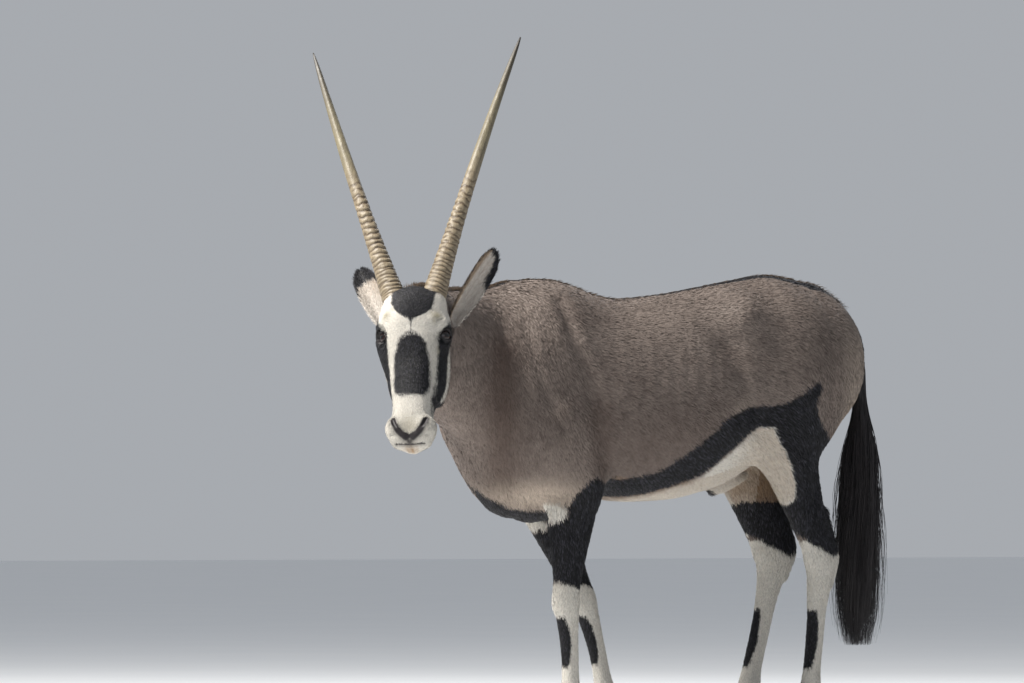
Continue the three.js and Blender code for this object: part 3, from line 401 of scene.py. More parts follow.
GROOVES = [  # line on the left side, depth, radius
    ([(0.545, 0.165, 1.04), (0.547, 0.167, 1.011), (0.549, 0.176, 0.912), (0.543, 0.170, 0.813), (0.525, 0.126, 0.714), (0.494, 0.056, 0.615)], 0.0130, 0.016),
    ([(0.358, 0.130, 1.113), (0.342, 0.178, 1.013), (0.308, 0.194, 0.913), (0.282, 0.199, 0.814), (0.266, 0.186, 0.715)], 0.0095, 0.020),
    ([(-0.105, 0.21, 0.965), (-0.130, 0.205, 0.90), (-0.155, 0.200, 0.840), (-0.200, 0.190, 0.760), (-0.235, 0.175, 0.700)], 0.0100, 0.022),
    ([(-0.395, 0.19, 1.02), (-0.398, 0.195, 0.95), (-0.392, 0.190, 0.86), (-0.378, 0.165, 0.74), (-0.362, 0.140, 0.62)], 0.0065, 0.015),
    ([(-0.215, 0.20, 1.02), (-0.255, 0.215, 0.93), (-0.262, 0.210, 0.84), (-0.255, 0.19, 0.76)], 0.0045, 0.018),
    ([(0.47, 0.155, 1.06), (0.462, 0.188, 0.97), (0.430, 0.196, 0.88), (0.395, 0.19, 0.80)], 0.0045, 0.014),
    ([(0.395, 0.20, 0.800), (0.430, 0.185, 0.76), (0.455, 0.16, 0.70)], 0.0040, 0.013),
    ([(0.372, 0.170, 0.70), (0.352, 0.172, 0.62), (0.338, 0.155, 0.54)], 0.0040, 0.010),
    ([(0.60, 0.165, 0.98), (0.68, 0.205, 0.95), (0.76, 0.262, 0.93)], 0.0050, 0.016),
]
LUMPS = [  # centre on the left side, radius, height
    ((-0.150, 0.170, 1.085), 0.032, 0.010), ((-0.095, 0.175, 1.00), 0.055, -0.013), ((-0.470, 0.085, 1.035), 0.030, 0.006),
    ((-0.240, 0.175, 0.725), 0.040, 0.006), ((0.505, 0.150, 0.835), 0.045, 0.007), ((0.300, 0.175, 0.665), 0.026, 0.007),
    ((0.425, 0.165, 1.105), 0.030, 0.005), ((-0.345, 0.215, 0.915), 0.060, 0.004),
]


def relief(p):
    """how far the flesh falls in (+) or swells (-) where muscles and bones show"""
    s = np.stack([p[:, 0], np.abs(p[:, 1]), p[:, 2]], 1)
    out = np.zeros(len(p))
    m = p[:, 2] > 0.5
    q, g = s[m], np.zeros(m.sum())
    for line, depth, r in GROOVES:
        g += depth * bump(polyline_distance(q, line), r)
    for c, r, h in LUMPS:
        g -= h * bump(np.linalg.norm(q - np.array(c), axis=1), r)
    # ribs
    w = ramp(q[:, 0], -0.13, -0.03) * (1 - ramp(q[:, 0], 0.20, 0.28)) * ramp(q[:, 2], 0.66, 0.74) * (1 - ramp(q[:, 2], 0.98, 1.06)) * ramp(q[:, 1], 0.12, 0.18)
    g += 0.00035 * w * np.sin((q[:, 0] + 0.16 * (q[:, 2] - 0.85)) * (2 * math.pi / 0.040))
    # folds where the neck turns
    n = q[:, 0] - 0.62 + 0.55 * (q[:, 1] - 0.12)
    g += 0.0007 * bump(n, 0.10) * ramp(q[:, 2], 0.86, 0.92) * (1 - ramp(q[:, 2], 1.04, 1.10)) * np.sin((q[:, 0] * 0.94 + q[:, 1] * 0.34) * (2 * math.pi / 0.036) + 6 * q[:, 2])
    out[m] = g
    # tendons along the cannons
    for limb in (FORE_LEFT, FORE_RIGHT, HIND_LEFT, HIND_RIGHT):
        box = (p[:, 2] < 0.50) & (p[:, 2] > 0.12) & np.all((p > limb.lo) & (p < limb.hi), axis=1) & (p[:, 1] * limb.T[0, 1] > 0)
        if not box.any():
            continue
        r = p[box]
        _, off, t, sd, up, R, _ = limb.place(r)
        a, b = np.einsum("ij,ij->i", off, sd) / R[:, 0], np.einsum("ij,ij->i", off, up) / R[:, 1]
        w = ramp(r[:, 2], 0.13, 0.17) * (1 - ramp(r[:, 2], 0.30, 0.34))
        v = 0.0038 * w * bump(b + 0.25, 0.22) * ramp(np.abs(a), 0.4, 0.8)
        knee = 1 - ramp(np.abs(r[:, 2] - 0.375), 0.02, 0.06)
        v += -0.0016 * knee * bump(b - 0.8, 0.35)
        out[box] += v
    return out


# the plane across the neck where the finer mesh of the head begins
SEAM = V(0.744, 0.157, 1.0)
SEAM_N = unit((0.683, 0.683, 0.26))
past_seam = lambda p: (p - SEAM) @ SEAM_N


def coat_depth(p):
    """how far the skin lies under the tips of the coat"""
    d = 0.0020 + 0.0034 * ramp(p[:, 2], 0.40, 0.66)
    s = past_seam(p)
    return np.where(s > -0.02, d + (0.0020 - d) * ramp(s, 0.0, 0.16), d)


def trunk_field(p):
    d = smin(body(p), DOCK(p), 0.02) + coat_depth(p) + relief(p)
    return np.maximum(d, 0.044 - p[:, 2])


# ---------------------------------------------------------------- head
EARS = {
    1: (V(0.068, -0.110, 0.060), V(0.1772, -0.1562, 0.2771), V(0.827, 0.534, 0.003)),
    -1: (V(-0.075, -0.103, 0.052), V(-0.168, -0.1842, 0.2530), V(-0.08, 0.99, 0)),
}
EAR_W = Curve([0, 0.12, 0.25, 0.45, 0.65, 0.80, 0.91, 0.97, 1], [0.015, 0.019, 0.0245, 0.0295, 0.0310, 0.0290, 0.0215, 0.0130, 0.003])


def ear_place(q, side):
    """place along the ear, across it, and out of its open side"""
    root, tip, face = EARS[side]
    L = tip - root
    T = unit(L)
    N = unit(face - T * (face @ T))
    S = np.cross(T, N)
    r = q - root
    return r @ T / np.linalg.norm(L), r @ S, r @ N, (T, N, S)


def ear_shell(t, a):
    w = EAR_W(np.clip(t, 0, 1))
    s = np.clip(a / w, -1, 1)
    cup = 0.020 * (1 - np.clip(t, 0, 1)) + 0.55 * w * (1 - 0.5 * np.clip(t, 0, 1))
    th = (0.0085 - 0.004 * np.clip(t, 0, 1)) * (0.35 + 0.65 * (1 - s * s))
    # folds inside the cup
    fold = 0.0012 * np.cos(s * 9.0) * (1 - s * s) * ramp(t, 0.05, 0.2) * (1 - ramp(t, 0.7, 0.95))
    return w, cup * 0.5 - 0.9 * cup * (1 - s * s), th, fold


def ear(q, side):
    t, a, n, _ = ear_place(q, side)
    L = np.linalg.norm(EARS[side][1] - EARS[side][0])
    w, mid, th, fold = ear_shell(t, a)
    d = np.hypot(np.maximum(np.abs(a) - (w - 0.0030), 0), n - (mid - th * 0.5)) - np.maximum(th * 0.5 - 0.0009, 0.0025) - np.maximum(fold, 0) * (n > mid - th * 0.5)
    # along the ear: rounded off by its own narrowing
    return np.maximum(d, np.maximum(-0.035 - t * L, (t - 1) * L + 0.002)) * 0.85


NOSTRIL = [(0.0417, -0.0050, -0.2150), (0.0375, -0.0005, -0.2270), (0.0307, 0.0020, -0.2386), (0.0160, -0.0010, -0.2526), (0.0030, -0.0080, -0.2592)]
NOSTRIL_R = [0.0052, 0.0058, 0.0044, 0.0026, 0.0016]
MOUTH = [(0, -0.0235, -0.2762), (0.018, -0.0215, -0.2750), (0.032, -0.0245, -0.2722), (0.0425, -0.0400, -0.2610), (0.0500, -0.0600, -0.2480), (0.0520, -0.0800, -0.2300), (0.0500, -0.0920, -0.2120)]
GAZE = rad(37)


def tube(s, pts, radii):
    best = np.full(len(s), 9.0)
    for a, b, ra, rb in zip(pts[:-1], pts[1:], radii[:-1], radii[1:]):
        a, b = np.asarray(a, float), np.asarray(b, float)
        e, w = b - a, s - a
        t = np.clip(w @ e / (e @ e), 0, 1)
        best = np.minimum(best, np.linalg.norm(w - t[:, None] * e, axis=1) - (ra + (rb - ra) * t))
    return best


def eye_angles(s):
    """angle in (towards the nose) and up from the middle of the eye opening, and distance from the eye's centre"""
    r = s - EYE
    R = np.linalg.norm(r, axis=1)
    g, h = V(cos(GAZE), sin(GAZE), 0), V(-sin(GAZE), cos(GAZE), 0)
    return np.arctan2(r @ h, r @ g), np.arcsin(np.clip(r[:, 2] / np.maximum(R, 1e-6), -1, 1)), R


def eye_opening(s):
    """below zero inside the almond between the lids"""
    al, be, R = eye_angles(s)
    be = be + rad(5) * np.sin(np.clip(al / rad(55), -1.2, 1.2))      # inner corner a little lower
    top, low = rad(35), rad(29)
    m = np.abs(be) / np.where(be > 0, top, low) + (al / rad(54)) ** 2 - 1
    return m * 0.0108


HEAD_GROOVES = [  # on |x|: line, depth, radius
    ([(0.050, -0.016, 0.028), (0.058, -0.012, 0.042), (0.070, -0.018, 0.048)], 0.0034, 0.0042),
    ([(0.060, -0.012, -0.012), (0.072, -0.022, -0.018), (0.084, -0.046, -0.014)], 0.0022, 0.0042),
    ([(0.058, -0.020, -0.022), (0.070, -0.032, -0.030), (0.080, -0.055, -0.026)], 0.0016, 0.0040),
    ([(0.060, -0.018, 0.004), (0.056, -0.014, -0.012), (0.052, -0.012, -0.028)], 0.0030, 0.0040),
    ([(0.062, -0.040, -0.060), (0.060, -0.052, -0.110), (0.054, -0.060, -0.175)], 0.0022, 0.0160),
    ([(0.040, -0.012, -0.190), (0.047, -0.030, -0.205), (0.049, -0.050, -0.222)], 0.0022, 0.0060),
    ([(0, 0.0, -0.2655), (0, -0.012, -0.2700), (0, -0.020, -0.2770)], 0.0028, 0.0024),
]


def head_detail(q, d):
    s = np.stack([np.abs(q[:, 0]), q[:, 1], q[:, 2]], 1)
    near = np.linalg.norm(s - V(0.05, -0.06, -0.08), axis=1) < 0.27
    t = s[near]
    v = d[near]
    # hollow in front of the eye, the lids on the ball, and the slit between them
    g, h = V(cos(GAZE), sin(GAZE), 0), V(-sin(GAZE), cos(GAZE), 0)
    v = smax(v, -ell(t, EYE + g * 0.034 + h * 0.017 + V(0, 0, -0.004), (0.0235, 0.0255, 0.0205), np.stack([g, h, V(0, 0, 1)])), 0.010)
    v = smin(v, np.linalg.norm(t - EYE, axis=1) - (EYE_RADIUS + 0.0040), 0.0045)
    al, be, R = eye_angles(t)
    op = eye_opening(t)
    v = v - 0.0013 * bump(op - 0.0012, 0.0018) * (R < 0.034)             # lid rims
    cut = smax(op, R - 0.040, 0.002)
    v = smax(v, -cut, 0.0016)
    v = smax(v, -(R - (EYE_RADIUS + 0.00035)), 0.0006)
    v = v + 0.0014 * bump(op - 0.0085, 0.0022) * (R < 0.032) * (R > 0.02)       # crease round the lids
    for line, depth, r in HEAD_GROOVES:
        v = v + depth * bump(polyline_distance(t, line), r)
    v = v - 0.0030 * bump(polyline_distance(t, [(0.046, -0.004, 0.040), (0.060, -0.006, 0.050), (0.074, -0.020, 0.044)]), 0.010)     # brow
    v = v - 0.0022 * bump(polyline_distance(t, [(0.066, -0.075, -0.03), (0.062, -0.072, -0.07), (0.056, -0.066, -0.10)]), 0.008)       # cheek bone
    v = v - 0.0026 * bump(polyline_distance(t, [(0.044, 0.000, -0.218), (0.036, 0.006, -0.238), (0.018, 0.003, -0.250)]), 0.0050)     # nostril wings
    v = v + 0.0020 * bump(polyline_distance(t, [(0.050, -0.030, -0.245), (0.040, -0.008, -0.254), (0.020, -0.008, -0.262)]), 0.0045)
    v = smax(v, -tube(t, NOSTRIL, NOSTRIL_R), 0.0022)
    v = smax(v, -(polyline_distance(t, MOUTH) - 0.0014), 0.0028)
    v = v - 0.0016 * bump(polyline_distance(t, [(0, -0.030, -0.2800), (0.022, -0.032, -0.2795), (0.036, -0.045, -0.270)]), 0.004)
    d = d.copy()
    d[near] = v
    return d


def head_field(p):
    q = to_head(p)
    d = smin(NECK(p), skull(q), 0.03) + coat_depth(p)
    n = past_seam(p) < 0.10
    if n.any():
        d[n] += relief(p[n])
    d = head_detail(q, d)
    for side in (1, -1):
        root, tip, _ = EARS[side]
        near = np.linalg.norm(q - (root + tip) / 2, axis=1) < 0.19
        if near.any():
            d[near] = smin(d[near], ear(q[near], side), 0.009)
    return np.maximum(d, -past_seam(p) - 0.012)


def mesh_field(fn, lo, hi, h, cap, n=1):
    D, lo = sample_field(fn, lo, hi, h)
    v, q = surface_nets(D, lo, h)
    return settle(fn, v, n, cap, 0.0006), q


def clip(verts, quads, sign):
    """cuts a mesh at the seam's plane and keeps one side; returns vertices, faces, and the loop of the cut"""
    me = bpy.data.meshes.new("part")
    me.from_pydata(verts.tolist(), [], quads.tolist())
    bm = bmesh.new()
    bm.from_mesh(me)
    co = SEAM + SEAM_N * (0.0012 * sign)
    bmesh.ops.bisect_plane(bm, geom=bm.verts[:] + bm.edges[:] + bm.faces[:], plane_co=Vector(co), plane_no=Vector(SEAM_N * sign), clear_inner=True, clear_outer=False, dist=1e-6)
    bm.verts.index_update()
    v = np.array([x.co[:] for x in bm.verts])
    f = [[x.index for x in y.verts] for y in bm.faces]
    loop = sorted({x.index for e in bm.edges if len(e.link_faces) == 1 for x in e.verts if abs((np.array(x.co[:]) - co) @ SEAM_N) < 2e-5})
    bm.free()
    bpy.data.meshes.remove(me)
    return v, f, loop




def build_skin():
    bv, bq = mesh_field(lambda p: np.maximum(trunk_field(p), past_seam(p) - 0.012), (-0.65, -0.26, 0.030), (0.90, 0.36, 1.22), BODY_STEP, 0.004)
    hv, hq = mesh_field(head_field, (0.59, -0.06, 0.66), (1.04, 0.50, 1.34), HEAD_STEP, 0.0010)
    v1, f1, l1 = clip(bv, bq, -1)
    v2, f2, l2 = clip(hv, hq, 1)
    # join the two loops of the cut with a narrow band
    e1 = unit(np.cross(SEAM_N, (0, 0, 1)))
    e2 = np.cross(e1, SEAM_N)
    centre = v1[l1].mean(0)
    turn = lambda v, l: np.arctan2((v[l] - centre) @ e2, (v[l] - centre) @ e1)
    a1, a2 = turn(v1, l1), turn(v2, l2)
    o1, o2 = np.argsort(a1), np.argsort(a2)
    A, B = [(a1[i], l1[i]) for i in o1], [(a2[i], l2[i] + len(v1)) for i in o2]
    band, i, j = [], 0, 0
    n1, n2 = len(A), len(B)
    while i < n1 or j < n2:
        ta = A[(i + 1) % n1][0] + (2 * math.pi if i + 1 >= n1 else 0)
        tb = B[(j + 1) % n2][0] + (2 * math.pi if j + 1 >= n2 else 0)
        if j >= n2 or (i < n1 and ta <= tb):
            band.append([A[i % n1][1], A[(i + 1) % n1][1], B[j % n2][1]])
            i += 1
        else:
            band.append([A[i % n1][1], B[(j + 1) % n2][1], B[j % n2][1]])
            j += 1
    v = np.vstack([v1, v2])
    t = np.array(band[0])
    nrm = np.cross(v[t[1]] - v[t[0]], v[t[2]] - v[t[0]])
    if nrm @ (v[t[0]] - centre) < 0:
        band = [x[::-1] for x in band]
    return v, f1 + [[k + len(v1) for k in x] for x in f2] + band

# ---------------------------------------------------------------- markings
def poly_sd(P, poly):
    """distance to the edge of a flat outline, above zero inside"""
    poly = np.asarray(poly, float)
    best = np.full(len(P), 9.0)
    ins = np.zeros(len(P), bool)
    for a, b in zip(poly, np.roll(poly, 1, 0)):
        e, w = b - a, P - a
        t = np.clip(w @ e / max(e @ e, 1e-12), 0, 1)
        best = np.minimum(best, np.linalg.norm(w - t[:, None] * e, axis=1))
        c = (a[1] > P[:, 1]) != (b[1] > P[:, 1])
        x = a[0] + (P[:, 1] - a[1]) * (b[0] - a[0]) / (b[1] - a[1] if b[1] != a[1] else 1e-9)
        ins ^= c & (P[:, 0] < x)
    return np.where(ins, best, -best)


# forward and up, seen from the side: flank band, thigh and gaskin
BAND = [(0.352, 0.598), (0.346, 0.626), (0.334, 0.648), (0.312, 0.668), (0.290, 0.681), (0.262, 0.668), (0.220, 0.669), (0.174, 0.675), (0.107, 0.688), (0.039, 0.733), (-0.018, 0.780), (-0.079, 0.831),
        (-0.125, 0.851), (-0.172, 0.856), (-0.216, 0.858), (-0.259, 0.870), (-0.304, 0.896), (-0.341, 0.924), (-0.358, 0.906), (-0.344, 0.878), (-0.342, 0.858), (-0.368, 0.818), (-0.407, 0.785), (-0.470, 0.765),
        (-0.500, 0.700), (-0.500, 0.520), (-0.455, 0.488), (-0.428, 0.476), (-0.398, 0.493), (-0.366, 0.508), (-0.330, 0.533), (-0.290, 0.548), (-0.262, 0.580), (-0.262, 0.611), (-0.288, 0.613), (-0.299, 0.629), (-0.295, 0.662), (-0.272, 0.706), (-0.236, 0.762), (-0.212, 0.806),
        (-0.172, 0.803), (-0.134, 0.779), (-0.076, 0.726), (-0.028, 0.680), (0.044, 0.653), (0.112, 0.633), (0.163, 0.628), (0.225, 0.626), (0.285, 0.620), (0.305, 0.600), (0.330, 0.590)]
BAND_LOW = Curve([-0.30, -0.176, -0.134, -0.076, -0.028, 0.044, 0.112, 0.163, 0.287, 0.36, 0.42], [0.86, 0.809, 0.779, 0.726, 0.680, 0.653, 0.633, 0.628, 0.622, 0.60, 0.56])
X_IN = Curve([-0.20, -0.18, -0.165, -0.14, -0.11, -0.075, -0.045, -0.01, 0.010, 0.027, 0.038, 0.075], [0.050, 0.0475, 0.0470, 0.0492, 0.0540, 0.0580, 0.0590, 0.0600, 0.0635, 0.0765, 0.0840, 0.088])
Y_REAR = Curve([-0.20, -0.185, -0.165, -0.14, -0.10, -0.06, -0.03, 0, 0.03, 0.06, 0.085], [-0.112, -0.110, -0.108, -0.105, -0.100, -0.090, -0.085, -0.088, -0.084, -0.066, -0.055])
NECK_LINE = NECK.T


def marks(p, n):
    """per point: black and white (distances, above zero inside), tan (real tan hair, and painted shade under the belly
    and over the white of the groin), bare skin, pale, ear hair and painted shade in the creases (0 to 1)
    """
    N = len(p)
    k, w = np.full(N, -0.05), np.full(N, -0.05)
    tan_and_painted_shade, bare, pale, olive, painted_shade = np.zeros(N), np.zeros(N), np.zeros(N), np.zeros(N), np.zeros(N)
    f, l, u = p.T
    side = np.where(l >= 0, 1.0, -1.0)
    al = np.abs(l)
    outer = n[:, 1] * side
    s = past_seam(p)
    trunk = s < 0.03
    # flank and thigh, on the outer faces above the gaskin and all round below it
    b = poly_sd(np.stack([f, u], 1), BAND)
    open_side = np.where(u > 0.62, ramp(outer, -0.35, 0.05) - 0.5, 0.5)
    legs_only = (al > 0.045) | (u > 0.66)
    k = np.where(trunk & legs_only, np.minimum(b, open_side * 0.03), k)
    # dark line along the back, wider on the croup, and the tail
    hw = np.interp(f, [-0.62, -0.52, -0.44, -0.36, -0.25, -0.12, 0.10, 0.40, 0.50], [0.060, 0.068, 0.070, 0.060, 0.036, 0.0220, 0.0180, 0.0190, 0.0190])
    top = (n[:, 2] > 0.15) & (f < 0.50) & (u > 0.95)
    k = np.where(top, np.maximum(k, hw - al), k)
    tail = np.clip((DOCK.T[:, 2].max() - u) * 0.6, -0.02, 0.02)
    near_tail = 0.026 - DOCK_DIST(p)
    k = np.maximum(k, np.where(f < -0.50, np.minimum(near_tail, 0.03), -0.05))
    # neck: crest and the line under the throat
    m = (f > 0.34) & (s < 0.30)
    if m.any():
        x, off, t, sd, up, R, over = NECK.place(p[m])
        a, c = np.einsum("ij,ij->i", off, sd), np.einsum("ij,ij->i", off, up)
        frac = x / (len(NECK_LINE) - 1)
        k[m] = np.maximum(k[m], np.where((c > 0) & (f[m] > 0.42), 0.0085 - np.abs(a), -0.05))
        a0 = np.interp(x, [1, 3.5, 4.4, 5.5], [-0.020, -0.026, -0.050, -0.070])
        under = np.where((c < 0) & (s[m] < 0.10), np.interp(x, [2.0, 3.0, 3.8, 4.8, 5.8], [0.024, 0.017, 0.009, 0.002, -0.006]) - np.abs(a - a0), -0.05)
        under = np.maximum(under, 0.0160 - polyline_distance(p[m], [(0.538, -0.024, 0.640), (0.553, -0.062, 0.675), (0.552, -0.085, 0.700), (0.545, -0.128, 0.728), (0.556, -0.146, 0.770)]))
        k[m] = np.maximum(k[m], np.where(f[m] > 0.40, under, -0.05))
    # brisket between the forelegs
    k = np.maximum(k, np.where((f > 0.20) & (f < 0.56) & (u < 0.70) & (n[:, 2] < 0.2) & (al < 0.12), np.minimum(np.minimum(0.072 - 0.25 * np.abs(f - 0.43) - al, (0.655 - 0.9 * al - u) * 0.5), 0.030), -0.05))
    brisket = np.minimum(np.minimum(0.118 - al, (0.594 + 0.35 * np.maximum(f - 0.47, 0) - u) * 0.8), f - 0.335)
    k = np.where((s < 0.02) & (f > 0.30) & (u > 0.50) & (al < 0.14), np.maximum(k, np.minimum(brisket, 0.03)), k)
    # forearms
    for limb, white_at in ((FORE_LEFT, (0.588, 0.030)), (FORE_RIGHT, (0.560, 0.022))):
        c0 = limb.T
        m = (np.abs(l - c0[0, 1]) < 0.11) & (u < 0.70) & (f > 0.02) & (l * c0[0, 1] > 0)
        if not m.any():
            continue
        x, off, t, sd, up, R, over = limb.place(p[m])
        fr = np.einsum("ij,ij->i", off, up) / R[:, 1]
        lat = np.einsum("ij,ij->i", off, sd) / R[:, 0] * (1 if c0[0, 1] > 0 else -1)
        uu = u[m]
        topline = 0.630 - 0.034 * fr
        low = 0.405 + 0.012 * fr
        kk = np.minimum(np.minimum(topline - uu, uu - low), 0.05)
        kk = np.minimum(kk, 0.035 + 0.04 * (fr + 0.55))            # pale behind
        kk = np.minimum(kk, (np.hypot((uu - white_at[0]) / (white_at[1] * 0.85), (fr - 1.0) / 0.52) - 1) * 0.022)
        inlimb = uu < 0.69
        k[m] = np.where(inlimb, np.maximum(k[m], kk), k[m])
        w[m] = np.maximum(w[m], np.where(uu < 0.62, np.minimum(0.413 - uu, 0.05), -0.05))
        w[m] = np.maximum(w[m], np.where((uu < 0.64) & ((al[m] > 0.105) | (c0[0, 1] < 0)), -(np.hypot((uu - white_at[0]) / (white_at[1] * 0.85), (fr - 1.0) / 0.52) - 1) * 0.04, -0.05))
        # black on the front of the cannon and pastern
        kk = np.minimum(np.minimum(0.325 - uu, uu - 0.20) * 0.8, 0.011 + (fr - 0.55) * 0.03 - 0.011 * ((uu - 0.262) / 0.0625) ** 2)
        k[m] = np.maximum(k[m], kk)
        k[m] = np.maximum(k[m], np.minimum(0.105 - uu, (fr - 0.2) * 0.02))
    # hind legs below the hock
    for limb in (HIND_LEFT, HIND_RIGHT):
        c0 = limb.T
        m = (np.abs(l - c0[0, 1]) < 0.10) & (u < 0.52) & (f < -0.15) & (l * c0[0, 1] > 0)
        if not m.any():
            continue
        x, off, t, sd, up, R, over = limb.place(p[m])
        fr = np.einsum("ij,ij->i", off, up) / R[:, 1]
        uu = u[m]
        w[m] = np.maximum(w[m], np.where(fr > -0.5, np.minimum(0.556 - uu, 0.05), np.minimum(0.492 - uu, 0.05)))
        kk = np.minimum(np.minimum(0.34 - uu, uu - 0.19) * 0.8, 0.010 + (fr - 0.6) * 0.03 - 0.011 * ((uu - 0.265) / 0.075) ** 2)
        k[m] = np.maximum(k[m], kk)
        k[m] = np.maximum(k[m], np.minimum(0.105 - uu, (fr - 0.2) * 0.02))
    # belly and the inside of the thighs
    belly = np.minimum(BAND_LOW(f) - u - 0.006, 0.05)
    w = np.where(trunk & (f > -0.325) & (f < 0.27) & (u > 0.50), np.maximum(w, belly), w)
    inner = ramp(-outer, -0.05, 0.45) * ramp(u, 0.56, 0.66) * (1 - ramp(u, 0.80, 0.88)) * (f < -0.12)
    tan_and_painted_shade = np.maximum(tan_and_painted_shade, 0.55 * inner)
    w = np.where(inner > 0.4, np.minimum(w, 0.0), w)
    pale = np.maximum(pale, 0.75 * bump(np.hypot((f - 0.415) / 3.4, u - 0.632), 0.036) * (s < 0.03))
    sp = np.stack([f, al, u], 1)
    # painted shade: dark brown laid along the crease between neck and shoulder, behind the shoulder and over the lower
    # flank
    painted_shade = np.maximum(painted_shade, 0.85 * bump(polyline_distance(sp, [(0.547, 0.167, 0.99), (0.549, 0.176, 0.912), (0.545, 0.169, 0.813), (0.525, 0.126, 0.714), (0.503, 0.080, 0.65)]), 0.050) * (s < 0.02))
    painted_shade = np.maximum(painted_shade, 0.55 * bump(polyline_distance(sp, [(0.285, 0.199, 0.834), (0.274, 0.193, 0.739), (0.264, 0.183, 0.690)]) - 0.004, 0.040))
    painted_shade = np.maximum(painted_shade, 0.35 * bump(np.hypot((f - 0.10) / 2.2, u - 0.77), 0.10))
    pale = np.maximum(pale, 0.5 * bump(np.hypot(f + 0.13, u - 0.83), 0.03))
    pale = np.maximum(pale, 0.35 * ramp(-f, 0.40, 0.50) * ramp(u, 0.76, 0.84) * (1 - ramp(u, 1.0, 1.1)))
    k = np.maximum(k, 0.016 - np.linalg.norm(p - V(-0.137, 0.006, 0.625), axis=1))
    # painted shade: warm tan laid on faces that look down, under the belly and chest
    tan_and_painted_shade = np.maximum(tan_and_painted_shade, 0.30 * ramp(-n[:, 2], 0.2, 0.8) * (u > 0.55) * (f < 0.22) * (al < 0.14))
    # painted shade: tan laid over the white of the belly and groin in front of the thighs
    tan_and_painted_shade = np.maximum(tan_and_painted_shade, 0.34 * ramp(-f, 0.08, 0.20) * ramp(u, 0.56, 0.64) * (1 - ramp(u, 0.80, 0.86)) * (k < -0.002) * (w > 0.0) * (f > -0.325))
    # ---- head
    q = to_head(p)
    hd = (s > 0.02) & (np.linalg.norm(q - V(0, -0.08, -0.07), axis=1) < 0.30)
    ears_near = np.zeros(N, bool)
    if hd.any():
        x, y, z = q[hd].T
        ax = np.abs(x)
        sd_ = np.stack([ax, y, z], 1)
        kh, wh = np.full(len(x), -0.05), np.full(len(x), -0.05)
        # white of the face, fading over the cheek
        cheek = np.interp(z, [-0.30, -0.22, -0.12, -0.04, 0.02, 0.06, 0.10], [-0.16, -0.125, -0.125, -0.112, -0.085, -0.060, -0.045])
        wh = np.maximum(wh, np.minimum((y - cheek) * 0.8, (0.112 - z) * 0.8))
        wh = np.minimum(wh, 0.05)
        # patch on the nose
        dz = (z + 0.0745)
        hz = np.where(dz > 0, 0.0815, 0.0800)
        ex = np.where(dz > 0, 2.15, 4.0)
        wd = 0.0432 + 0.001 * ramp(-z, 0.06, 0.12)
        g = ((np.abs(x - 0.0012) / wd) ** ex + (np.abs(dz) / hz) ** ex) ** (1 / ex)
        kh = np.maximum(kh, np.where(y > -0.05, (1 - g) * 0.036, -0.05))
        # forehead
        hw = np.interp(z, [0.030, 0.034, 0.042, 0.051, 0.066, 0.083, 0.14], [0.0, 0.004, 0.0170, 0.0300, 0.0430, 0.0500, 0.0520])
        kh = np.maximum(kh, np.where((z > 0.02) & (y > -0.16), np.minimum(hw - ax, (z - 0.028) * 0.8), -0.05))
        kh = np.maximum(kh, np.where((y > -0.05) & (z > 0.004) & (z < 0.040), 0.0014 - ax, -0.05))
        # stripe through the eye and down the cheek
        st = np.minimum(np.minimum(ax - X_IN(z), y - Y_REAR(z)), np.minimum(z + 0.192, 0.076 - z))
        st = np.minimum(st, 0.03)
        kh = np.maximum(kh, np.where(z < 0.085, st, -0.05))
        jaw = np.minimum(0.014 - np.abs(z + 0.150 + 0.55 * (y + 0.10)), -0.078 - y)
        kh = np.maximum(kh, np.where(z < -0.06, jaw, -0.05))
        kh = np.maximum(kh, np.where((z < -0.04), np.minimum(0.016 - ax, -0.100 - y), -0.05))
        # top of the head behind the horns
        kh = np.maximum(kh, np.where((z > 0.095), np.minimum(0.050 - ax, 0.03), -0.05))
        kh = np.maximum(kh, 0.010 - np.linalg.norm(sd_ - V(0.034, -0.030, 0.118), axis=1))
        nos = polyline_distance(sd_, NOSTRIL)
        lip = polyline_distance(sd_, MOUTH)
        br = np.maximum(np.clip(1.6 * bump(nos, 0.0088), 0, 1), np.clip(1.5 * bump(lip, 0.0036), 0, 1))
        br = np.maximum(br, bump(polyline_distance(sd_, [(0, -0.004, -0.2560), (0.004, -0.012, -0.266), (0, -0.020, -0.2745)]), 0.0085))
        low = polyline_distance(sd_, [(0.041, -0.006, -0.226), (0.026, -0.004, -0.2500), (0.008, -0.011, -0.2640)])
        br = np.maximum(br, np.clip(1.3 * bump(low, 0.0078), 0, 1))
        op = eye_opening(sd_)
        R = np.linalg.norm(sd_ - EYE, axis=1)
        br = np.maximum(br, np.where(R < 0.030, bump(np.maximum(op, 0), 0.0036), 0))
        tn = 0.9 * bump(np.linalg.norm((sd_ - V(0, -0.046, -0.283)) * [1, 0.7, 1], axis=1), 0.017) * (np.sin(x * 500) * 0.15 + 0.85)
        ol = 0.75 * bump(np.linalg.norm(sd_ - V(0.0600, -0.004, 0.052), axis=1), 0.013)
        ol = np.maximum(ol, 0.45 * bump(np.linalg.norm((sd_ - V(0, 0.0, -0.232)) * [0.75, 1, 0.8], axis=1), 0.022))
        ol = np.maximum(ol, 0.45 * bump(polyline_distance(sd_, [(0.052, -0.006, 0.034), (0.046, 0.002, 0.066)]), 0.007))
        under = bump(np.linalg.norm(sd_ - V(0.069, -0.030, -0.028), axis=1), 0.011)
        kh = kh - 0.005 * under
        ol = np.maximum(ol, 0.8 * under)
        k[hd] = np.where(y > -0.20, np.maximum(kh, k[hd] - 0.02 * (z > -0.05)), k[hd])
        w[hd] = np.maximum(w[hd], wh)
        tan_and_painted_shade[hd] = np.maximum(tan_and_painted_shade[hd], tn)
        bare[hd] = br
        olive[hd] = ol
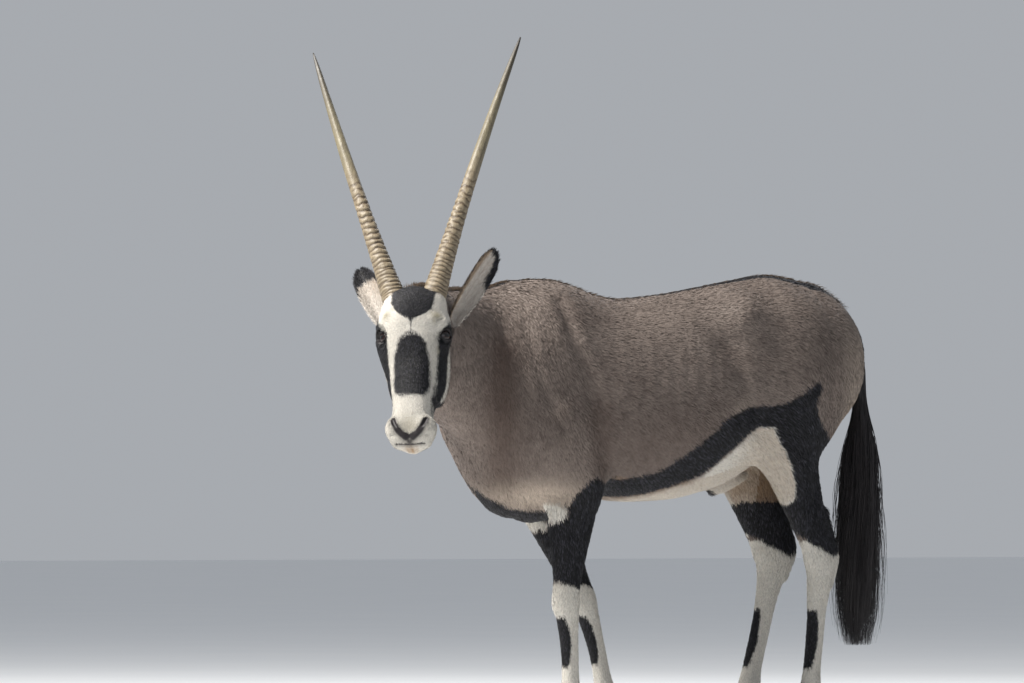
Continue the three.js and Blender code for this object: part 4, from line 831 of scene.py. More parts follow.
    # ---- ears
    earf = np.zeros(N)
    for sgn in (1, -1):
        root, tip, _ = EARS[sgn]
        m = np.linalg.norm(q - (root + tip) / 2, axis=1) < 0.165
        if not m.any():
            continue
        t, a, nn, (T, Nn, S) = ear_place(q[m], sgn)
        wv, mid, th, fold = ear_shell(t, a)
        isear = (t > 0.04) & (np.abs(nn - mid) < 0.014) & (np.abs(a) < wv + 0.006)
        inside_face = (n[m] @ head_dir(Nn)) > -0.1
        sx = a / wv * sgn
        edge = wv - np.abs(a)
        if sgn > 0:     # black at the tip and down its rear edge
            ke = np.maximum((t - 0.93) * 0.12, np.where(a < 0, 0.0150 * ramp(t, 0.50, 0.68) - edge, 0.0022 * ramp(t, 0.7, 0.9) - edge))
        else:           # black top, running down both edges
            ke = np.maximum((t - 0.735) * 0.12 - edge * 0.35 + 0.003, np.where(t > 0.42, 0.0070 * ramp(t, 0.50, 0.72) - edge, -0.05))
        kk = k[m]
        kk[isear] = np.clip(ke[isear], -0.05, 0.05)
        k[m] = kk
        ww = w[m]
        ww[isear] = np.where(inside_face[isear], 0.02, -0.012 + 0.03 * (1 - t[isear]))
        w[m] = ww
        tt = tan_and_painted_shade[m]
        tt[isear] = np.where(inside_face[isear], (0.50 * ramp(t[isear], 0.25, 0.75) * (0.45 + 0.55 * np.clip(sx[isear], 0, 1)) if sgn < 0 else 0.10 + 0.60 * ramp(sx[isear], 0.25, 0.80)), 0.38)
        tan_and_painted_shade[m] = tt
        ef = earf[m]
        ef[isear] = np.where(inside_face[isear], 1.0, 0.4)
        earf[m] = ef
        ears_near[np.where(m)[0][isear]] = True
    return dict(black=k, white=w, tan_and_painted_shade=tan_and_painted_shade, bare=bare, pale=pale, olive=olive, ear=earf, painted_shade=painted_shade)


def DOCK_DIST(p):
    d = np.full(len(p), 0.2)
    m = np.all((p > DOCK.lo) & (p < DOCK.hi), axis=1)
    if m.any():
        C = DOCK.T[8:, :3]
        d[m] = np.sqrt(((p[m][:, None] - C[None]) ** 2).sum(2)).min(1)
    return d


def flow(p, n):
    """the way the hair lies"""
    f, l, u = p.T
    N = len(p)
    side = np.where(l >= 0, 1.0, -1.0)
    s = past_seam(p)
    d = np.empty((N, 3))
    d[:, 0], d[:, 1], d[:, 2] = -1.0, 0.0, -0.35 - 0.5 * ramp(0.95 - u, 0.0, 0.2)
    # shoulder and haunch run more steeply
    sh = ramp(f, 0.22, 0.40)[:, None]
    d = d * (1 - sh) + np.array([-0.42, 0, -0.95]) * sh
    hn = (ramp(-f, 0.22, 0.38) * ramp(1.10 - u, 0, 0.15))[:, None]
    d = d * (1 - hn) + np.array([-0.45, 0, -1.0]) * hn
    nk = (ramp(f + l * 0.5, 0.50, 0.66))[:, None]
    d = d * (1 - nk) + np.array([-0.42, -0.28, -0.85]) * nk
    lg = ramp(0.70 - u, 0.0, 0.10)[:, None] * (np.abs(l) > 0.05)[:, None]
    d = d * (1 - lg) + np.array([-0.12, 0, -1.0]) * lg
    q = to_head(p)
    x, y, z = q.T
    hs = (ramp(s, 0.05, 0.14) * (np.linalg.norm(q - V(0, -0.08, -0.06), axis=1) < 0.32))[:, None]
    up = ramp(z, 0.000, 0.030)
    hv = np.stack([np.sign(x) * (0.12 + 0.5 * up) * ramp(np.abs(x), 0, 0.02), -0.10 - 0.55 * ramp(-y, 0.04, 0.09), -1 + 1.7 * up * ramp(y, -0.08, -0.03)], 1)
    # down from between the eyes, up over the brow, back over the cheek
    hv = rows_unit(hv) @ HEAD
    d = d * (1 - hs) + hv * hs
    for sgn in (1, -1):
        root, tip, _ = EARS[sgn]
        m = np.linalg.norm(q - (root + tip) / 2, axis=1) < 0.165
        if m.any():
            t, a, nn, (T, Nn, S) = ear_place(q[m], sgn)
            wv, mid, th, fold = ear_shell(t, a)
            e = (t > 0.02) & (np.abs(nn - mid) < 0.014) & (np.abs(a) < wv + 0.006)
            dd = d[m]
            dd[e] = (T[None] + S[None] * (0.25 * np.sign(a))[:, None])[e] @ HEAD
            d[m] = dd
    tl = f < -0.535
    d[tl] = (0.1, 0, -1)
    d = d - n * np.einsum("ij,ij->i", d, n)[:, None]
    return rows_unit(d)


# ---------------------------------------------------------------- building objects
def to_model(p):
    p = np.asarray(p, float)
    return np.stack([-(p[:, 0] - CENTRE_F), -(p[:, 1] - CENTRE_L), p[:, 2]], 1)


def mesh_from(name, verts, faces_flat, sizes, smooth=True):
    """a mesh from arrays: flat vertex numbers, and the size of each face"""
    me = bpy.data.meshes.new(name)
    verts = np.asarray(verts, np.float32)
    me.vertices.add(len(verts))
    me.vertices.foreach_set("co", verts.ravel())
    me.loops.add(len(faces_flat))
    me.loops.foreach_set("vertex_index", np.asarray(faces_flat, np.int32))
    me.polygons.add(len(sizes))
    sizes = np.asarray(sizes, np.int32)
    start = np.concatenate([[0], np.cumsum(sizes)[:-1]]).astype(np.int32)
    me.polygons.foreach_set("loop_start", start)
    me.polygons.foreach_set("use_smooth", np.full(len(sizes), smooth))
    me.update(calc_edges=True)
    return me


def add_object(name, me, material, slot_name, *nodes):
    ob = bpy.data.objects.new(name, me)
    SCENE.collection.objects.link(ob)
    if material is not None:
        me.materials.append(material)
    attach(ob, "root")
    if nodes:
        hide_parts(*nodes)
    return ob


def add_attributes(me, values):
    for name, v in values.items():
        a = me.attributes.new(name, "FLOAT", "POINT")
        a.data.foreach_set("value", np.asarray(v, np.float32))


def loft(rings, closed_ends=True):
    """rings of equal length into a flat list of faces"""
    R = np.asarray(rings, float)
    m, n = R.shape[:2]
    i, k = np.meshgrid(np.arange(m - 1), np.arange(n), indexing="ij")
    k2 = (k + 1) % n
    q = np.stack([i * n + k, i * n + k2, (i + 1) * n + k2, (i + 1) * n + k], -1).reshape(-1, 4)
    flat, sizes = list(q.ravel()), [4] * len(q)
    if closed_ends:
        flat += list(range(n))[::-1] + [(m - 1) * n + j for j in range(n)]
        sizes += [n, n]
    return R.reshape(-1, 3), flat, sizes


def outward(verts, flat, sizes):
    """turns the faces round if the solid is inside out"""
    v = np.asarray(verts)
    vol, o = 0.0, 0
    for s in sizes:
        for j in range(1, s - 1):
            vol += np.dot(v[flat[o]], np.cross(v[flat[o + j]], v[flat[o + j + 1]]))
        o += s
    if vol >= 0:
        return flat
    out, o = [], 0
    for s in sizes:
        out += flat[o:o + s][::-1]
        o += s
    return out


# ---------------------------------------------------------------- materials
def rgb(h):
    c = [int(h[i:i + 2], 16) / 255 for i in (0, 2, 4)]
    return tuple(x / 12.92 if x <= 0.04045 else ((x + 0.055) / 1.055) ** 2.4 for x in c) + (1.0,)


class Shader:
    def __init__(self, name):
        self.m = bpy.data.materials.new(name)
        self.m.use_nodes = True
        self.t = self.m.node_tree
        self.p = self.t.nodes["Principled BSDF"]

    def node(self, kind, **inputs):
        n = self.t.nodes.new(kind)
        for k, v in inputs.items():
            if hasattr(n, k) and not k[0].isupper():
                setattr(n, k, v)
        return n

    def put(self, v, socket):
        if isinstance(v, bpy.types.NodeSocket):
            self.t.links.new(v, socket)
        elif isinstance(v, str):
            socket.default_value = rgb(v)
        else:
            socket.default_value = v

    def attribute(self, name):
        n = self.t.nodes.new("ShaderNodeAttribute")
        n.attribute_name = name
        return n.outputs["Fac"]

    def math(self, op, a, b=0.0, c=None, clamp=False):
        n = self.t.nodes.new("ShaderNodeMath")
        n.operation = op
        n.use_clamp = clamp
        self.put(a, n.inputs[0])
        self.put(b, n.inputs[1])
        if c is not None:
            self.put(c, n.inputs[2])
        return n.outputs[0]

    def mix(self, f, a, b, kind="MIX"):
        n = self.t.nodes.new("ShaderNodeMix")
        n.data_type = "RGBA"
        n.blend_type = kind
        n.clamp_factor = True
        self.put(f, n.inputs[0])
        self.put(a, n.inputs[6])
        self.put(b, n.inputs[7])
        return n.outputs[2]

    def noise(self, scale, detail=2.0, rough=0.5, stretch=None):
        if not hasattr(self, "pos"):
            self.pos = self.t.nodes.new("ShaderNodeTexCoord").outputs["Object"]
        v = self.pos
        if stretch is not None:
            mp = self.t.nodes.new("ShaderNodeMapping")
            mp.inputs["Scale"].default_value = stretch
            self.t.links.new(v, mp.inputs["Vector"])
            v = mp.outputs[0]
        n = self.t.nodes.new("ShaderNodeTexNoise")
        n.inputs["Scale"].default_value = scale
        n.inputs["Detail"].default_value = detail
        n.inputs["Roughness"].default_value = rough
        self.t.links.new(v, n.inputs["Vector"])
        return n.outputs["Fac"]

    def edge(self, sd, jitter, width):
        """0 to 1 across a marking's edge, roughened"""
        x = self.math("ADD", sd, jitter)
        return self.math("MULTIPLY_ADD", x, 1.0 / width, 0.5, clamp=True)

    def bump(self, height, strength, distance):
        b = self.t.nodes.new("ShaderNodeBump")
        b.inputs["Strength"].default_value = strength
        b.inputs["Distance"].default_value = distance
        self.t.links.new(height, b.inputs["Height"])
        self.t.links.new(b.outputs[0], self.p.inputs["Normal"])


COAT = dict(grey="786d66", deep="433935", black="09090d", speck="33333a", white="c2bfb8", cream="a9a297", tan_and_painted_shade="7f6240", olive="736b4f", pale="a5988a", bare="0f0d0f", ear="8b7d7a", painted_shade="3c2c25")


def coat_material(name, fur):
    s = Shader(name)
    A = s.attribute
    big, mid, fine = s.noise(7.0, 3), s.noise(46.0, 3), s.noise(240.0, 2)
    tint = A("tint") if fur else s.noise(420.0, 2)
    along = A("along") if fur else None
    g = s.math("MULTIPLY_ADD", big, 0.9, -0.10)
    g = s.math("ADD", g, s.math("MULTIPLY_ADD", mid, 0.7, -0.35))
    g = s.math("ADD", g, s.math("MULTIPLY_ADD", tint, 0.6, -0.3), clamp=True)
    c = s.mix(g, COAT["grey"], COAT["deep"])
    # painted shade from the marks pulls the coat towards dark brown in the creases and on the lower flank
    c = s.mix(s.math("MULTIPLY", A("painted_shade"), 0.75), c, COAT["painted_shade"])
    c = s.mix(A("pale"), c, COAT["pale"])
    # white parts
    jit = s.math("MULTIPLY_ADD", mid, 0.016, -0.008)
    jit = s.math("ADD", jit, s.math("MULTIPLY_ADD", tint, 0.008, -0.004))
    wc = s.mix(s.math("MULTIPLY_ADD", tint, 0.8, -0.1, clamp=True), COAT["white"], COAT["cream"])
    c = s.mix(s.edge(A("white"), jit, 0.020 if not fur else 0.016), c, wc)
    c = s.mix(s.math("MULTIPLY", A("ear"), s.math("MULTIPLY_ADD", tint, 0.5, 0.0)), c, COAT["ear"])
    c = s.mix(A("olive"), c, COAT["olive"])
    # tan colour: real tan hair on muzzle, ears and inner thighs, and painted shade under the belly and over the groin's
    # white
    c = s.mix(A("tan_and_painted_shade"), c, COAT["tan_and_painted_shade"])
    # black parts, with a few lighter hairs
    jb = s.math("MULTIPLY_ADD", mid, 0.008, -0.004)
    jb = s.math("ADD", jb, s.math("MULTIPLY_ADD", tint, 0.005, -0.0025))
    bc = s.mix(s.math("MULTIPLY_ADD", tint, 2.2, -1.35, clamp=True), COAT["black"], COAT["speck"])
    c = s.mix(s.edge(A("black"), jb, 0.0040), c, bc)
    if fur:
        # roots in the coat's own shade, light tips
        v = s.math("MULTIPLY_ADD", along, 0.62, 0.62)
        v = s.math("MULTIPLY", v, s.math("MULTIPLY_ADD", tint, 0.34, 0.83))
    else:
        v = s.math("MULTIPLY_ADD", fine, 0.35, 0.62)
    n = s.t.nodes.new("ShaderNodeVectorMath")
    n.operation = "SCALE"
    s.put(c, n.inputs[0])
    s.put(v, n.inputs[3])
    c = n.outputs[0]
    c = s.mix(A("bare"), c, s.mix(fine, COAT["bare"], "241f21"))
    s.put(c, s.p.inputs["Base Color"])
    rough = s.math("MULTIPLY_ADD", A("bare"), -0.12, 0.62)
    s.put(rough, s.p.inputs["Roughness"])
    s.p.inputs["Specular IOR Level"].default_value = 0.22
    if fur:
        s.p.inputs["Sheen Weight"].default_value = 0.03
        s.p.inputs["Sheen Roughness"].default_value = 0.5
    else:
        h = s.math("MULTIPLY_ADD", s.noise(900.0, 3), 0.5, s.math("MULTIPLY", fine, 0.5))
        s.bump(h, 0.6, 0.0012)
    return s.m


def horn_material():
    s = Shader("horn")
    ring, t = s.attribute("ring"), s.attribute("along")
    fibre = s.noise(90.0, 4, 0.6, (1, 1, 0.10))
    blotch = s.noise(38.0, 3)
    base = s.mix(s.math("MULTIPLY_ADD", fibre, 1.6, -0.4, clamp=True), "7e725e", "574c3a")
    base = s.mix(s.math("MULTIPLY_ADD", s.noise(110.0, 3), 3.2, -1.75, clamp=True), base, "463827")
    groove = s.mix(s.math("MULTIPLY_ADD", blotch, 1.2, -0.2, clamp=True), "3a2f22", "574733")
    low = s.mix(s.math("MULTIPLY_ADD", s.math("ADD", ring, s.math("MULTIPLY_ADD", blotch, 0.5, -0.25)), 1.9, -0.45, clamp=True), groove, base)
    smooth = s.mix(s.math("MULTIPLY_ADD", fibre, 1.6, -0.3, clamp=True), "6f6852", "4c4437")
    tip = s.mix(s.math("MULTIPLY_ADD", t, 3.2, -2.2, clamp=True), smooth, "1f1b19")
    k = s.math("MULTIPLY_ADD", s.math("ADD", t, s.math("MULTIPLY_ADD", blotch, 0.16, -0.08)), 7.0, -3.0, clamp=True)
    c = s.mix(k, low, tip)
    s.put(c, s.p.inputs["Base Color"])
    s.put(s.math("MULTIPLY_ADD", fibre, 0.25, 0.44), s.p.inputs["Roughness"])
    s.bump(s.math("ADD", fibre, s.math("MULTIPLY", s.noise(300.0, 3, 0.6, (1, 1, 0.2)), 0.5)), 0.9, 0.0016)
    return s.m


def hoof_material():
    s = Shader("hoof")
    band = s.noise(30.0, 3, 0.6, (0.3, 0.3, 5.0))
    c = s.mix(s.math("MULTIPLY_ADD", band, 1.8, -0.5, clamp=True), "17130f", "3b322a")
    c = s.mix(s.math("MULTIPLY_ADD", s.noise(160.0, 3), 2.0, -1.1, clamp=True), c, "6b5d4c")
    s.put(c, s.p.inputs["Base Color"])
    s.put(s.math("MULTIPLY_ADD", band, 0.3, 0.34), s.p.inputs["Roughness"])
    s.bump(s.math("ADD", band, s.math("MULTIPLY", s.noise(420.0, 3), 0.4)), 0.6, 0.0010)
    return s.m


def hair_material(name, dark, light, rough=0.42):
    s = Shader(name)
    t, a = s.attribute("tint"), s.attribute("along")
    c = s.mix(s.math("MULTIPLY_ADD", t, 1.5, -0.3, clamp=True), dark, light)
    c = s.mix(s.math("MULTIPLY_ADD", s.noise(60.0, 2), 0.8, -0.2, clamp=True), c, dark)
    c = s.mix(s.math("MULTIPLY", a, 0.35), c, light)
    s.put(c, s.p.inputs["Base Color"])
    s.p.inputs["Roughness"].default_value = rough
    s.p.inputs["Specular IOR Level"].default_value = 0.35
    return s.m


def eye_material():
    s = Shader("eye")
    a, b = s.attribute("eye_a"), s.attribute("eye_b")
    r = s.math("SQRT", s.math("ADD", s.math("MULTIPLY", a, a), s.math("MULTIPLY", b, b)))
    fib = s.noise(900.0, 4, 0.7)
    iris = s.mix(s.math("MULTIPLY_ADD", fib, 2.4, -0.8, clamp=True), "0c0503", "2f150a")
    iris = s.mix(s.math("MULTIPLY_ADD", r, 2.6, -0.9, clamp=True), iris, "0d0706")
    pr = s.math("SQRT", s.math("ADD", s.math("MULTIPLY", s.math("MULTIPLY", a, a), 4.2), s.math("MULTIPLY", s.math("MULTIPLY", b, b), 20.0)))
    c = s.mix(s.math("MULTIPLY_ADD", pr, -14.0, 14.5, clamp=True), iris, "020202")
    white = s.mix(s.math("MULTIPLY_ADD", fib, 1.5, -0.3, clamp=True), "120c0a", "261b16")
    c = s.mix(s.math("MULTIPLY_ADD", r, 12.0, -8.6, clamp=True), c, white)
    s.put(c, s.p.inputs["Base Color"])
    s.p.inputs["Roughness"].default_value = 0.07
    s.p.inputs["Specular IOR Level"].default_value = 0.38
    s.p.inputs["Coat Weight"].default_value = 0.30
    s.p.inputs["Coat Roughness"].default_value = 0.02
    s.bump(fib, 0.05, 0.0003)
    return s.m


def floor_material():
    s = Shader("floor")
    c = s.mix(s.noise(1.2, 2), "eceef0", "f2f3f4")
    s.put(c, s.p.inputs["Base Color"])
    s.p.inputs["Roughness"].default_value = 0.9
    return s.m


M_SKIN, M_FUR = coat_material("coat_skin", False), coat_material("coat_tufts", True)
M_HORN, M_HOOF, M_EYE = horn_material(), hoof_material(), eye_material()
M_TAIL = hair_material("tail_hair", "0b0a0c", "2c282a")
M_MANE = hair_material("mane_hair", "17130f", "57432f", 0.55)
M_LASH = hair_material("lashes", "060505", "15110f")

# ---------------------------------------------------------------- skin
skin_v, skin_f = build_skin()
sizes = np.array([len(x) for x in skin_f], np.int32)
flat = np.array([k for x in skin_f for k in x], np.int32)
start = np.concatenate([[0], np.cumsum(sizes)[:-1]])
tris = []
for j in range(1, sizes.max() - 1):
    m = sizes > j + 1
    tris.append(np.stack([flat[start[m]], flat[start[m] + j], flat[start[m] + j + 1]], 1))
tris = np.concatenate(tris)
tri_n = np.cross(skin_v[tris[:, 1]] - skin_v[tris[:, 0]], skin_v[tris[:, 2]] - skin_v[tris[:, 0]])
skin_n = np.zeros_like(skin_v)
for j in range(3):
    np.add.at(skin_n, tris[:, j], tri_n)
skin_n = rows_unit(skin_n)
skin_marks = marks(skin_v, skin_n)
skin_me = mesh_from("skin", to_model(skin_v), flat, sizes)
add_attributes(skin_me, skin_marks)
FLESH = ["trunk", "neck", "head", "ear_left", "ear_right", "tail_dock"] + [f"{a}leg_{b}_{c}" for a in ("fore", "hind") for b in ("left", "right") for c in ("upper", "lower")]
skin = add_object("skin", skin_me, M_SKIN, "coat_grey", *FLESH)

# ---------------------------------------------------------------- coat
RNG = np.random.default_rng(4884)
area = np.linalg.norm(tri_n, axis=1) / 2
mid = skin_v[tris].mean(1)
mid_n = rows_unit(tri_n)


def is_ear(p):
    q = to_head(p)
    out = np.zeros(len(p), bool)
    for sgn in (1, -1):
        root, tip, _ = EARS[sgn]
        m = np.linalg.norm(q - (root + tip) / 2, axis=1) < 0.165
        if m.any():
            t, a, nn, _ = ear_place(q[m], sgn)
            wv, md, _, _ = ear_shell(t, a)
            out[m] = (t > 0.05) & (np.abs(nn - md) < 0.014) & (np.abs(a) < wv + 0.006)
    return out


tri_s = past_seam(mid)
reg = np.full(len(mid), 0)                      # 0 and 1 trunk, front and back, +2 on the right
reg[mid[:, 0] < 0.02] = 1
reg[(mid[:, 1] < 0)] += 2
reg[(mid[:, 0] + 0.5 * mid[:, 1] > 0.53) & (mid[:, 2] > 0.58)] = 4
reg[(tri_s > 0.075)] = 5
reg[is_ear(mid)] = 6
reg[(mid[:, 2] < 0.60) & (mid[:, 0] > 0.02) & (tri_s < 0)] = 7
reg[(mid[:, 2] < 0.66) & (mid[:, 0] < -0.12) & (np.abs(mid[:, 1]) > 0.03)] = 8
PIECES = {  # region: name, blades
    0: ("coat_left_front", 54000), 1: ("coat_left_back", 58000), 2: ("coat_right_front", 44000), 3: ("coat_right_back", 46000),
    4: ("coat_neck", 56000), 5: ("coat_head", 62000), 6: ("coat_ears", 22000), 7: ("coat_forelegs", 34000), 8: ("coat_hindlegs", 46000)}


def unwrap(p, n, region):
    """flat place of a root on the skin's own shape"""
    f, l, u = p.T
    if region < 4:
        a = np.arctan2(np.abs(l) + 0.02, u - 0.86) / math.pi
        x = (f + 0.64) / 1.22
        return np.stack([0.02 + 0.96 * np.clip(x * 2 if region in (1, 3) else x * 2 - 1.08, 0, 1), 0.02 + 0.96 * np.clip(a, 0, 1)], 1)
    if region == 4:
        x, off, t, sd, up, R, _ = NECK.place(p)
        a = np.arctan2(np.einsum("ij,ij->i", off, sd), np.einsum("ij,ij->i", off, up)) / (2 * math.pi) + 0.5
        return np.stack([0.02 + 0.96 * np.clip(x / (len(NECK.T) - 1), 0, 1), 0.02 + 0.96 * a], 1)
    if region == 5:
        q = to_head(p)
        a = np.arctan2(q[:, 0], q[:, 1] + 0.085) / (2 * math.pi) + 0.5
        return np.stack([0.02 + 0.96 * a, 0.02 + 0.96 * np.clip((q[:, 2] + 0.29) / 0.44, 0, 1)], 1)
    if region == 6:
        q = to_head(p)
        sg = q[:, 0] > 0
        out = np.zeros((len(p), 2))
        for sgn, m in ((1, sg), (-1, ~sg)):
            t, a, nn, (T, N, S) = ear_place(q[m], sgn)
            inside = (n[m] @ head_dir(N)) > 0
            out[m, 0] = 0.13 + 0.5 * (sgn > 0) + 0.25 * inside + a / 0.035 * 0.11
            out[m, 1] = 0.03 + 0.94 * np.clip(t, 0, 1)
        return out
    out = np.zeros((len(p), 2))
    for i, limb in enumerate((FORE_LEFT, FORE_RIGHT) if region == 7 else (HIND_LEFT, HIND_RIGHT)):
        m = (l > 0) == (i == 0)
        if m.any():
            x, off, t, sd, up, R, _ = limb.place(p[m])
            a = np.arctan2(np.einsum("ij,ij->i", off, sd), np.einsum("ij,ij->i", off, up)) / (2 * math.pi) + 0.5
            out[m] = np.stack([0.02 + 0.5 * i + 0.46 * a, 0.02 + 0.96 * np.clip(x / (len(limb.T) - 1), 0, 1)], 1)
    return out


def blades(p, n, d, L, w, lift, roll, bend):
    """five points for each tuft: two at the root, two half way, one at the tip"""
    sd = np.cross(d, n)
    sd = rows_unit(sd * np.cos(roll)[:, None] + n * np.sin(roll)[:, None])
    a = p - n * 0.0008
    b = p + d * (L * 0.50)[:, None] + n * (lift * 0.75 * bend)[:, None]
    c = p + d * L[:, None] + n * lift[:, None]
    w = w[:, None]
    return np.stack([a - sd * w * 0.34, a + sd * w * 0.34, b + sd * w * 0.5, b - sd * w * 0.5, c], 1)


def blade_mesh(name, P, attrs, uv):
    N = len(P)
    base = (np.arange(N) * 5)[:, None]
    flat = (base + np.array([[0, 1, 2, 3, 3, 2, 4]])).ravel()
    sz = np.tile([4, 3], N)
    me = mesh_from(name, to_model(P.reshape(-1, 3)), flat, sz)
    values = {k: np.repeat(v, 5) for k, v in attrs.items()}
    values["along"] = np.tile([0.0, 0.0, 0.5, 0.5, 1.0], N)
    add_attributes(me, values)
    lay = me.uv_layers.new(name="OFBake")
    corner = np.array([[-1, -1], [1, -1], [1, 0.2], [-1, 0.2], [-1, 0.2], [1, 0.2], [0, 1]]) * 0.0015
    lay.data.foreach_set("uv", (uv[:, None] + corner[None]).astype(np.float32).ravel())
    return me


def tuft_size(p, n, region, r):
    """length, width, height of tip"""
    N = len(p)
    u = p[:, 2]
    if region <= 4:
        L = 0.0135 + 0.005 * r
        w = np.full(N, 0.00195)
        lift = 0.0034 + 0 * u
        low = ramp(0.66 - u, 0.0, 0.06)
        return L * (1 + 0.25 * low), w, lift
    if region == 5:
        q = to_head(p)
        k = ramp(-q[:, 1], 0.05, 0.15)
        L = 0.0050 + 0.0035 * r + 0.006 * k
        m = ramp(-q[:, 2], 0.17, 0.25)
        return L * (1 - 0.35 * m), 0.00085 + 0.0005 * k, 0.0014 + 0.0012 * k
    if region == 6:
        return 0.0080 + 0.006 * r, np.full(N, 0.0009), np.full(N, 0.0022)
    k = ramp(u, 0.25, 0.60)
    return (0.0075 + 0.003 * r) * (1 + 0.7 * k), 0.0013 + 0.0008 * k, 0.0016 + 0.0026 * k


def scatter(select, count, weight=None):
    ids = np.where(select)[0]
    wt = area[ids] * (1 if weight is None else weight[ids])
    cum = np.cumsum(wt)
    t = ids[np.minimum(np.searchsorted(cum, RNG.random(count) * cum[-1]), len(ids) - 1)]
    a, b = RNG.random(count), RNG.random(count)
    flip = a + b > 1
    a[flip], b[flip] = 1 - a[flip], 1 - b[flip]
    T = tris[t]
    c = 1 - a - b
    P = skin_v[T[:, 0]] * c[:, None] + skin_v[T[:, 1]] * a[:, None] + skin_v[T[:, 2]] * b[:, None]
    Nn = rows_unit(skin_n[T[:, 0]] * c[:, None] + skin_n[T[:, 1]] * a[:, None] + skin_n[T[:, 2]] * b[:, None])
    return P, Nn


for region, (name, count) in PIECES.items():
    wt = None
    if region == 5:
        qm = to_head(mid)
        wt = 1.0 + 1.2 * ramp(qm[:, 1], -0.10, -0.03)
    P, Nn = scatter(reg == region, count, wt)
    mk = marks(P, Nn)
    keep = mk["bare"] < 0.55
    if region == 5:
        q = to_head(P)
        s3 = np.stack([np.abs(q[:, 0]), q[:, 1], q[:, 2]], 1)
        R = np.linalg.norm(s3 - EYE, axis=1)
        keep &= ~((R < 0.036) & (eye_opening(s3) < 0.0012))
    P, Nn = P[keep], Nn[keep]
    mk = {k: v[keep] for k, v in mk.items()}
    N = len(P)
    d = flow(P, Nn)
    r = RNG.random(N)
    ang = RNG.normal(0, 0.16, N)
    sd = np.cross(d, Nn)
    d = d * np.cos(ang)[:, None] + sd * np.sin(ang)[:, None]
    L, w, lift = tuft_size(P, Nn, region, r)
    lift = lift * RNG.uniform(0.45, 1.0, N)
    roll = RNG.normal(0, 0.30, N)
    w = w * RNG.uniform(0.75, 1.25, N)
    B = blades(P, Nn, d, L, w, lift, roll, RNG.uniform(0.8, 1.3, N))
    mk["tint"] = RNG.random(N)
    uv = unwrap(P, Nn, region)
    slot = {5: "coat_white", 6: "ear_hair", 8: "coat_black"}.get(region, "coat_grey")
    add_object(name, blade_mesh(name, B, mk, uv), M_FUR, slot)


# ---------------------------------------------------------------- horns
HORN = {"left": ((0.0370, -0.048, 0.090), (0.2213, -0.1897, 0.8692), (-0.0045, 0.011, 0)), "right": ((-0.0440, -0.048, 0.090), (-0.2933, -0.1236, 0.8206), (-0.0045, 0.010, 0))}
HORN_W = Curve([-0.06, 0, 0.05, 0.12, 0.25, 0.38, 0.52, 0.66, 0.80, 0.90, 0.96, 1], [1.13, 1.13, 1.09, 0.955, 0.775, 0.645, 0.56, 0.46, 0.345, 0.25, 0.16, 0.045])
HORN_BASE = 0.0270


def build_horn(side, seed):
    rng = np.random.default_rng(seed)
    root, tip, bow = (np.array(x, float) for x in HORN[side])
    L = np.linalg.norm(tip - root)
    n, rows = 44, 270
    tt = np.concatenate([np.linspace(-0.05, 0.50, 225), np.linspace(0.503, 0.995, rows - 225)])
    # number of rings passed, from the distance between them
    grid = np.linspace(-0.06, 0.60, 1400)
    gap = 0.0088 + 0.0125 * np.clip(grid / 0.46, 0, 1.2)
    phase = np.cumsum(np.full(len(grid), (grid[1] - grid[0]) * L) / gap)
    jitter = rng.normal(0, 1, 40)
    ang = np.linspace(0, 2 * math.pi, n, endpoint=False)
    P, ring_v, al = [], [], []
    for t in tt:
        A = root + (tip - root) * t + bow * 4 * t * (1 - t)
        e = unit((tip - root) + bow * 4 * (1 - 2 * t))
        U = unit(V(1, 0, 0) - e * e[0])
        W = np.cross(e, U)
        ph = np.interp(t, grid, phase)
        # rings dip towards the sides and differ a little from each other
        q = ph + 0.34 * np.cos(ang - 1.1) + 0.17 * np.sin(2 * ang + 3 * jitter[int(ph) % 40]) + 0.09 * np.sin(5 * ang + 5 * jitter[(int(ph) + 3) % 40]) + 0.12 * jitter[int(ph) % 40]
        fr = q - np.floor(q)
        crest = np.clip(np.sin(math.pi * fr ** 0.8), 0, 1) ** 0.9
        amp = (0.0014 + 0.0009 * np.cos(ang - 1.4 + 0.5 * jitter[int(ph) % 40])) * (1 + 0.2 * np.sin(3 * ang + 7 * jitter[int(ph) % 40])) * float(ramp(np.array(t), -0.02, 0.05)) * float(1 - ramp(np.array(t), 0.36, 0.50))
        rr = HORN_BASE * float(HORN_W(t))
        r = rr + (crest - 0.62) * amp * 1.35
        if t > 0.45:
            r = r + 0.00025 * np.sin(5 * ang + 9 * t)
        P.append(A + U[None] * (r * np.cos(ang))[:, None] + W[None] * (r * 1.06 * np.sin(ang))[:, None])
        ring_v.append(crest * (1 - float(ramp(np.array(t), 0.44, 0.52))) + 0.75 * float(ramp(np.array(t), 0.44, 0.52)))
        al.append(np.full(n, max(t, 0.0)))
    v, f, sz = loft(P)
    v = from_head(v)
    f = outward(v, f, sz)
    me = mesh_from("horn_" + side + "_ringed", to_model(v), f, sz)
    add_attributes(me, dict(ring=np.concatenate(ring_v), along=np.concatenate(al)))
    add_object("horn_" + side + "_ringed", me, M_HORN, "horn", "horn_" + side)


build_horn("left", 11)
build_horn("right", 12)


